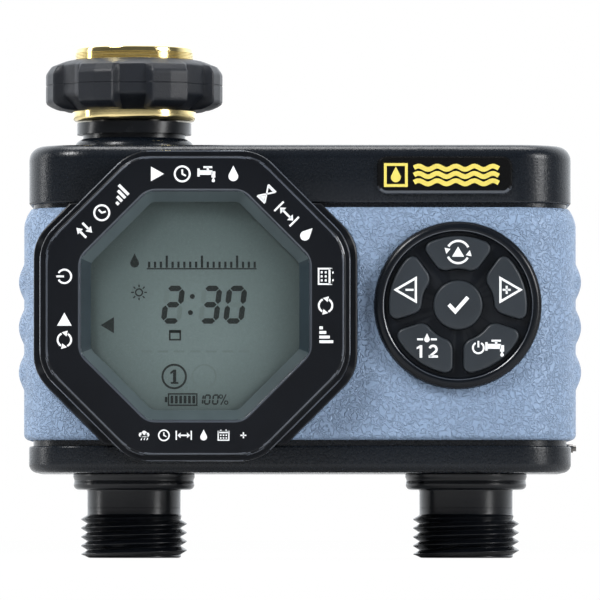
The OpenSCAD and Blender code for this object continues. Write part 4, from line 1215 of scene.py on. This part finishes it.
def build_key_marks():
    """White print on the buttons: pictograms and plain numerals."""
    marks = key_marks(CAPS["cycle"])
    marks.shape([(-1.5, -1.15), (1.5, -1.15), (0, 1.35)])
    icon_cycle(marks, 2.75, 0.55)
    printed(marks, "cycle")
    for name, side in (("minus", -1), ("plus", 1)):
        marks = key_marks(CAPS[name])
        marks.strip([(side * 3.0, -0.3), (-side * 2.0, 2.6), (-side * 2.0, -3.2)], 0.55, closed=True)
        marks.bars((-side * 0.45, -0.3, 2.0, 0.5))
        if name == "plus":
            marks.bars((-side * 0.45, -0.3, 0.5, 2.0))
        printed(marks, name)
    marks = key_marks(CAPS["zone"])
    zone_numbers(marks)
    printed(marks, "zone")
    marks = key_marks(CAPS["power"])
    marks.across = -2.7
    icon_off(marks, 1.35, 0.45)
    marks.across = 1.7
    icon_tap(marks)
    printed(marks, "power")
    marks = Marks(PAD_X, PAD_H, KEY_PRINT_Y)
    marks.strip([(-2.3, 0.1), (-0.7, -1.6), (2.4, 1.9)], 0.95)
    printed(marks, "ok")


def zone_numbers(m):
    """The numerals 1 and 2 under a drop between two dashes."""
    m.bars((-1.5, -0.9, 0.65, 3.1))
    m.shape([(-1.8, 0.6), (-1.8, -0.05), (-2.55, -0.35), (-2.55, 0.1)])
    m.strip(arc(1.5, -0.35, 0.85, 165, -35, 14) + [(0.7, -2.15)], 0.6)
    m.bars((1.55, -2.15, 2.3, 0.6))
    drop(m, 0, 2.3, 0.95)
    m.bars((-1.7, 2.1, 1.5, 0.5), (1.7, 2.1, 1.5, 0.5))


# ---------------------------------------------------------------- badge

BADGE_R = 2.4
BADGE_SIGN_U, BADGE_SIGN_HALF = -12.1, 2.6


def build_badge():
    lo, hi = span("badge_plate")
    cx, ch = (lo[0] + hi[0]) / 2, (lo[2] + hi[2]) / 2
    half_w, half_h = (hi[0] - lo[0]) / 2 - BADGE_R, (hi[2] - lo[2]) / 2 - BADGE_R

    def outline(inset):
        quarters = ((1, 1, 0), (-1, 1, 90), (-1, -1, 180), (1, -1, 270))
        curves = (arc(cx + sx * half_w, ch + sy * half_h, BADGE_R - inset, a, a + 90, 8)
                  for sx, sy, a in quarters)
        return [point for curve in curves for point in curve]

    badge = plate("badge", outline, lo[1], hi[1], "timer_body", "badge_gloss", BADGE_BLACK, ease=0.85)
    # Painted highlight along the badge's lower, downward-facing lip.
    accent(badge, EDGE_HIGHLIGHT, lambda face: face.normal.z < -0.25 and face.normal.y < -0.25)
    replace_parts(badge, "badge_plate")
    build_badge_mark(Marks(cx, ch, lo[1] + 0.01))


def build_badge_mark(mark):
    """A drop in a square, and three waves."""
    a = BADGE_SIGN_HALF
    square = [(BADGE_SIGN_U + u, v) for u, v in ((-a, -a), (a, -a), (a, a), (-a, a))]
    mark.strip(square, 0.7, closed=True)
    drop(mark, BADGE_SIGN_U, -0.15, 1.7)
    for k in range(3):
        wave = [(-7.6 + 0.5 * i, 1.8 - 1.8 * k + 0.42 * math.sin(0.5 * i * TAU / 4.6)) for i in range(43)]
        mark.strip(wave, 1.15)
    mark.make("badge_mark", "timer_body", "badge_gloss", BADGE_YELLOW)


# ---------------------------------------------------------------- inlet and swivel nut

def interpolate(table, t):
    """Value at t of a piecewise linear table of (t, value), in rising order."""
    if t <= table[0][0]:
        return table[0][1]
    for (t0, v0), (t1, v1) in zip(table, table[1:]):
        if t <= t1:
            return v0 + (v1 - v0) * (t - t0) / (t1 - t0)
    return table[-1][1]


def smoothstep(t):
    t = min(1.0, max(0.0, t))
    return t * t * (3 - 2 * t)


GRIP_LO, GRIP_HI = span("nut_grip")
GRIP_BOTTOM, GRIP_TOP = GRIP_LO[2], GRIP_HI[2]
GRIP_H = GRIP_TOP - GRIP_BOTTOM
GRIP_TEETH, GRIP_R = 7, 22.2
FACET = 5.8         # degrees from a tooth's ridge to the middle of each of its two flat facets
# Radius of a tooth and of the gap between teeth, by height above the ring's bottom
CROWN = [(0, 16.2), (0.08, 17.8), (0.4, 19.3), (1.1, 20.9), (1.6, 21.7), (1.95, 22.02), (2.4, 22.17),
         (2.9, GRIP_R), (GRIP_H - 3.9, GRIP_R), (GRIP_H - 3.5, 22.12), (GRIP_H - 3.1, 21.9),
         (GRIP_H - 1.7, 20.9), (GRIP_H - 0.95, 19.0), (GRIP_H - 0.6, 18.1), (GRIP_H - 0.2, 16.9),
         (GRIP_H, 15.6)]
VALLEY = [(0, 15.5), (0.4, 16.2), (3.4, 19.75), (3.8, 20.0), (4.3, 20.1), (GRIP_H - 1.9, 20.1),
          (GRIP_H - 1.5, 19.85), (GRIP_H - 0.6, 17.9), (GRIP_H - 0.3, 17.0), (GRIP_H, 15.55)]


def tooth(angle):
    """How much of a tooth there is at an angle, and how its facets stretch the radius."""
    step = TAU / GRIP_TEETH
    off = abs(math.degrees(math.remainder(angle + math.pi / 2 - step / 2, step)))
    facet = math.cos(math.radians(FACET)) / math.cos(math.radians(min(off, 2 * FACET) - FACET))
    return min(1.0, max(0.0, (16.0 - off) / 3.6)), facet


def grip_loop(t, seam):
    """The ring's outline at height t above its bottom."""
    high, low = interpolate(CROWN, t), interpolate(VALLEY, t)
    steps = GRIP_TEETH * 60
    loop = []
    for k in range(steps):
        share, facet = tooth(TAU * k / steps)
        r = min(GRIP_R, low + (high * facet - low) * share + seam)
        loop.append(turn_point(INLET_X, r, GRIP_BOTTOM + t, k / steps))
    return loop


def plain_loop(r, h, steps=GRIP_TEETH * 60):
    return [turn_point(INLET_X, r, h, k / steps) for k in range(steps)]


def build_grip():
    parting, seam_half, levels = GRIP_H * 0.5, 0.07, 46
    heights = [GRIP_H * k / levels for k in range(levels + 1)]
    heights = [t for t in heights if abs(t - parting) > 0.2]
    heights += [parting + d for d in (-0.16, -0.06, 0, 0.06, 0.16)]
    loops = [plain_loop(14.9, GRIP_BOTTOM), plain_loop(15.35, GRIP_BOTTOM)]
    loops += [grip_loop(t, -0.13 if abs(t - parting) < seam_half else 0.0) for t in sorted(heights)]
    loops += [plain_loop(15.3, GRIP_TOP), plain_loop(14.9, GRIP_TOP - 0.25)]
    grip = make("grip_ring", *loft(loops, closed=True), GRIP_BLACK, smooth=16)
    finished(grip, "swivel_nut", "hose_black", "nut_grip")


THREAD_STEPS = 160
FADE_IN, FADE_OUT = 0.7, 1.1        # over which height a thread grows out of its wall at either end


def thread_profile(depth):
    """One turn of a 60 degree thread, as (height along the axis, share of the depth)."""
    flank = depth * math.tan(math.radians(30))
    return [(-0.15, 0.95), (-0.06, 1.0), (0.06, 1.0), (0.15, 0.95), (0.12 + flank, 0.03), (0.2 + flank, 0.0),
            (PITCH - 0.2 - flank, 0.0), (PITCH - 0.12 - flank, 0.03), (PITCH - 0.15, 0.95)]


def helical_wall(x, root, crest, low, high, start):
    """A right-hand thread between two heights. Its mesh follows the helix and ends flat on the root."""
    profile = thread_profile(abs(crest - root))
    first = math.floor((low - start) / PITCH) - 1
    count = (math.ceil((high - low) / PITCH) + 3) * THREAD_STEPS
    verts = []
    for k in range(count + 1):
        for u, share in profile:
            h = start + PITCH * (first + k / THREAD_STEPS) + u
            fade = smoothstep((h - low) / FADE_IN) * smoothstep((high - h) / FADE_OUT)
            r = root + (crest - root) * share * fade
            verts.append(turn_point(x, r, min(high, max(low, h)), (k % THREAD_STEPS) / THREAD_STEPS))
    n = len(profile)
    corners = [k * n + j for k in range(count) for j in range(n - 1)]
    return verts, [(a, a + n, a + n + 1, a + 1) for a in corners]


def open_rings(rows, x):
    """Bands between neighbouring (r, h) rings, left open at both ends."""
    verts = [turn_point(x, r, h, k / THREAD_STEPS) for r, h in rows for k in range(THREAD_STEPS)]
    faces = []
    for i in range(0, (len(rows) - 1) * THREAD_STEPS, THREAD_STEPS):
        for k in range(THREAD_STEPS):
            m = (k + 1) % THREAD_STEPS
            faces.append((i + k, i + m, i + THREAD_STEPS + m, i + THREAD_STEPS + k))
    return verts, faces


def joined(*parts):
    """One list of vertices and one of faces, from several."""
    all_verts, all_faces = [], []
    for verts, faces in parts:
        start = len(all_verts)
        all_verts += verts
        all_faces += [tuple(start + i for i in face) for face in faces]
    return all_verts, all_faces


INSERT_SHELL, INSERT_THREAD_ROOT, INSERT_THREAD_CREST = 14.875, 13.65, 12.4


def build_insert():
    lo, hi = span("nut_insert")
    bottom, top = lo[2], hi[2]
    shell, root = INSERT_SHELL, INSERT_THREAD_ROOT
    low, high = span("inlet_washer")[1][2] - 0.6, top - 1.5
    rows = [(root, low), (13.6, low - 0.2), (13.2, low - 0.5), (13.2, 113.4), (10.8, 113.4),
            (10.8, bottom + 0.3), (11.1, bottom), (14.5, bottom), (14.95, bottom + 0.12),
            (15.3, bottom + 0.5), (15.48, bottom + 1.0), (15.48, GRIP_BOTTOM - 0.05),
            (shell - 0.02, GRIP_BOTTOM + 0.01), (shell - 0.02, GRIP_TOP - 0.4)]
    for k in range(5):
        base = GRIP_TOP + 0.1 + 0.36 * k
        rows += [(shell, base), (shell - 0.09, base + 0.09), (shell, base + 0.18)]
    rows += [(shell, top - 0.5), (shell - 0.12, top - 0.2), (shell - 0.4, top - 0.03), (shell - 0.6, top),
             (13.9, top), (13.75, top - 0.1), (13.1, top - 0.75), (root, top - 1.3), (root, high)]
    wall = helical_wall(INLET_X, root, INSERT_THREAD_CREST, low, high, 118.1)
    insert = make("brass_insert", *joined(open_rings(rows, INLET_X), wall), BRASS, smooth=30)
    finished(insert, "swivel_nut", "brass", "nut_insert")


OUTLET_CREST, OUTLET_ROOT, OUTLET_NECK, OUTLET_BORE = 13.3, 11.75, 11.7, 7.9
COLLAR_LO = 17.1
# The outlet's collar, as (radius, height above its lower face)
OUTLET_COLLAR = [(13.8, 0), (14.3, 0.08), (14.75, 0.32), (15.03, 0.7), (15.14, 1.15), (15.12, 1.6),
                 (15.02, 2.0), (14.97, 2.3), (15.02, 2.6), (15.17, 2.95), (15.25, 3.3)]


def build_outlet(side):
    x = OUTLET_X[side]
    root, neck, bore = OUTLET_ROOT, OUTLET_NECK, OUTLET_BORE
    low, high = 0.25, 10.9
    inner = CASE_BOTTOM + WALL
    rows = [(root, high), (neck, high + 0.15), (neck, 12.45), (neck - 0.1, 12.5), (neck - 0.1, 12.56),
            (neck, 12.61), (neck, COLLAR_LO - 0.4), (neck + 0.1, COLLAR_LO - 0.12), (neck + 0.35, COLLAR_LO)]
    rows += [(r, COLLAR_LO + rise) for r, rise in OUTLET_COLLAR]
    rows += [(15.25, CASE_BOTTOM - 0.3), (15.1, CASE_BOTTOM - 0.06), (neck + 0.02, CASE_BOTTOM - 0.06),
             (neck, inner + 0.1), (13.8, inner + 0.1), (14, inner + 0.3), (14, inner + 2.4),
             (13.8, inner + 2.6), (9.9, inner + 2.6), (9.9, 30), (8.6, 30), (8.6, 32.4), (9.9, 32.4),
             (9.9, 36.7), (9.6, 37), (bore, 37)]
    rows += [(bore, 0.25), (bore + 0.25, 0.0), (root - 0.7, 0.0), (root - 0.25, 0.08), (root, low)]
    wall = helical_wall(x, root, OUTLET_CREST, low, high, 0.85 + PITCH / 2)
    outlet = make("outlet_fitting_" + side, *joined(open_rings(rows, x), wall), HOSE_BLACK, smooth=28)
    finished(outlet, "timer_body", "hose_black", "outlet_" + side)


NET_R, NET_WIRE, NET_PITCH, NET_SAG = 6.6, 0.11, 0.34, 2.2


def net_wire(axis, c, rim_h):
    """One wire of the strainer's net at distance c from its middle, along x (axis 0) or y (axis 1)."""
    reach = math.sqrt(NET_R ** 2 - c * c)
    loops = []
    for s in range(13):
        t = -reach + 2 * reach * s / 12
        h = rim_h - 0.7 - NET_SAG * (1 - (t * t + c * c) / NET_R ** 2)
        loop = []
        for du, dv in ((-NET_WIRE, 0), (0, -NET_WIRE), (NET_WIRE, 0), (0, NET_WIRE)):
            x, y = (t, c + du) if axis == 0 else (c + du, t)
            loop.append((INLET_X + x, y, h + dv + 0.05 * axis))
        loops.append(loop)
    return loft(loops)


def build_filter():
    """Strainer: a rim and a fine woven net over the inlet."""
    rim_h = span("inlet_filter")[1][2]
    rim = [(6.5, rim_h - 1.0), (9.75, rim_h - 1.0), (9.75, rim_h - 0.1), (9.65, rim_h), (6.6, rim_h),
           (6.5, rim_h - 0.1)]
    offsets = [k * NET_PITCH for k in range(-18, 19)]
    wires = [net_wire(axis, c, rim_h) for axis in (0, 1) for c in offsets]
    make("strainer_net", *joined(revolved(rim, INLET_X, 64), *wires), NYLON, "timer_body", "white_nylon")


# ---------------------------------------------------------------- CAD nodes that stay as they are

KEPT = {
    RUBBER: "housing_seal inlet_o_ring inlet_washer outlet_o_rings diaphragm_left diaphragm_right "
            "door_gasket",
    STEEL: "housing_screws board_screws bonnet_screws poppet_spring_left poppet_spring_right plunger_left "
           "plunger_right plunger_spring_left plunger_spring_right battery_contacts",
    NYLON: "lcd_frame inlet_filter poppet_left poppet_right",
    SILICONE: "lcd_connectors key_mat",
    HOSE_BLACK: "valve_body inlet_tailpiece bonnet_left bonnet_right",
    COPPER: "solenoid_left solenoid_right",
    BLACK_ABS: "battery_tray battery_door",
    BOARD_GREEN: "circuit_board",
    CHIP_BLACK: "board_components",
    WIRE_RED: "solenoid_wires",
    WIRE_BLACK: "battery_wires",
    CELL_WRAP: "batteries",
    PIN_STEEL: "door_hinge_pin",
}
EASED = {
    "valve_body": 0.3, "battery_door": 0.35, "door_hinge_pin": 0.15, "housing_screws": 0.15,
    "battery_tray": 0.2, "inlet_washer": 0.25, "bonnet_left": 0.2, "bonnet_right": 0.2,
    "inlet_tailpiece": 0.15, "batteries": 0.4,
}


def ease_edges(obj, width):
    """Rounds a CAD node's edges by modifiers, which leave its own mesh alone."""
    weld = obj.modifiers.new("weld", "WELD")
    weld.merge_threshold = 0.001 * MM
    bevel = obj.modifiers.new("ease", "BEVEL")
    bevel.width = width * MM
    bevel.segments = 3
    bevel.limit_method = "ANGLE"
    bevel.angle_limit = math.radians(40)
    bevel.harden_normals = False
    normals = obj.modifiers.new("normals", "WEIGHTED_NORMAL")
    normals.weight = 90
    normals.keep_sharp = True


def dress_kept_nodes():
    """Gives each carried-over CAD node its material, and the visible ones eased edges."""
    for mat, names in KEPT.items():
        for name in names.split():
            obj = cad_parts[name]
            obj.data.materials.clear()
            obj.data.materials.append(mat)
            if name in EASED:
                ease_edges(obj, EASED[name])


# ---------------------------------------------------------------- studio

def area_light(name, place, target, size, power):
    data = bpy.data.lights.new(name, "AREA")
    data.shape = "RECTANGLE"
    data.size, data.size_y = size
    data.energy = power
    obj = bpy.data.objects.new(name, data)
    bpy.context.scene.collection.objects.link(obj)
    obj.location = place
    obj.rotation_euler = (target - place).to_track_quat("-Z", "Y").to_euler()


def white_surround(in_front, behind):
    """A white backdrop for the camera; what the object reflects is bright behind it and dim in front."""
    scene = bpy.context.scene
    scene.world = scene.world or bpy.data.worlds.new("world")
    scene.world.use_nodes = True
    s = Shader(scene.world.node_tree, "Background")
    y = s.node("SeparateXYZ", {0: s.node("TexCoord").outputs["Generated"]}).outputs["Y"]
    s.set(s.surface, {0: (0.92, 0.96, 1.0, 1), 1: s.spread(y, in_front, behind, start=0.05, end=0.6)})
    seen = s.node("Background", {0: (1, 1, 1, 1), 1: 1.0}).outputs[0]
    to_camera = s.node("LightPath").outputs["Is Camera Ray"]
    mixed = s.node("MixShader", {0: to_camera, 1: s.surface.outputs[0], 2: seen}).outputs[0]
    s.links.new(mixed, s.nodes["World Output"].inputs[0])
    scene.view_settings.view_transform = "Standard"


def build_floor(half=6.0):
    corners_xy = [(-half, -half), (half, -half), (half, half), (-half, half)]
    mesh = bpy.data.meshes.new("floor")
    mesh.from_pydata([(MID_X + x, y, RIM_Z - 0.0002) for x, y in corners_xy], [], [(0, 1, 2, 3)])
    mesh.materials.append(FLOOR)
    floor = bpy.data.objects.new("floor", mesh)
    bpy.context.scene.collection.objects.link(floor)
    floor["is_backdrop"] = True


def build_lights():
    """Soft key, fill and top lights, and two upright strips that draw highlights on the round parts."""
    centre = at(0, 0, 64)
    area_light("key", centre + Vector((-0.75, -0.75, 0.95)), centre, (0.4, 0.35), 17)
    area_light("fill", centre + Vector((1.05, -0.65, 0.45)), centre, (0.4, 0.5), 8)
    area_light("top", centre + Vector((0.0, 0.1, 0.8)), centre, (0.7, 0.3), 6)
    for k, (azimuth, wide, power) in enumerate(((-96, 0.10, 2.0), (60, 0.16, 3.0))):
        a = math.radians(azimuth)
        place = centre + Vector((0.8 * math.sin(a), -0.8 * math.cos(a), 0.06))
        area_light(f"strip_{k}", place, centre, (wide, 0.8), power)


def build_camera(distance=2.0, width=0.1508, eye_h=6.0, centre_h=64.8):
    """Camera in front, low over the floor, with the given width in view at the case's middle."""
    data = bpy.data.cameras.new("camera")
    data.sensor_width = 36.0
    data.lens = data.sensor_width * distance / width
    data.clip_end = 50
    camera = bpy.data.objects.new("camera", data)
    bpy.context.scene.collection.objects.link(camera)
    camera.location = at(0, -distance / MM, eye_h)
    camera.rotation_euler = (at(0, 0, centre_h) - camera.location).to_track_quat("-Z", "Y").to_euler()
    bpy.context.scene.camera = camera


build_case()
build_band()
build_bezel()
build_display()
build_display_marks()
build_keypad()
build_badge()
build_grip()
build_insert()
build_outlet("left")
build_outlet("right")
build_filter()
dress_kept_nodes()
build_floor()
white_surround(0.12, 1.8)
build_lights()
build_camera()


def corners(bounds):
    return [list(corner) for corner in bounds]


{"cad": corners(cad_box), "visual": corners(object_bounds())}
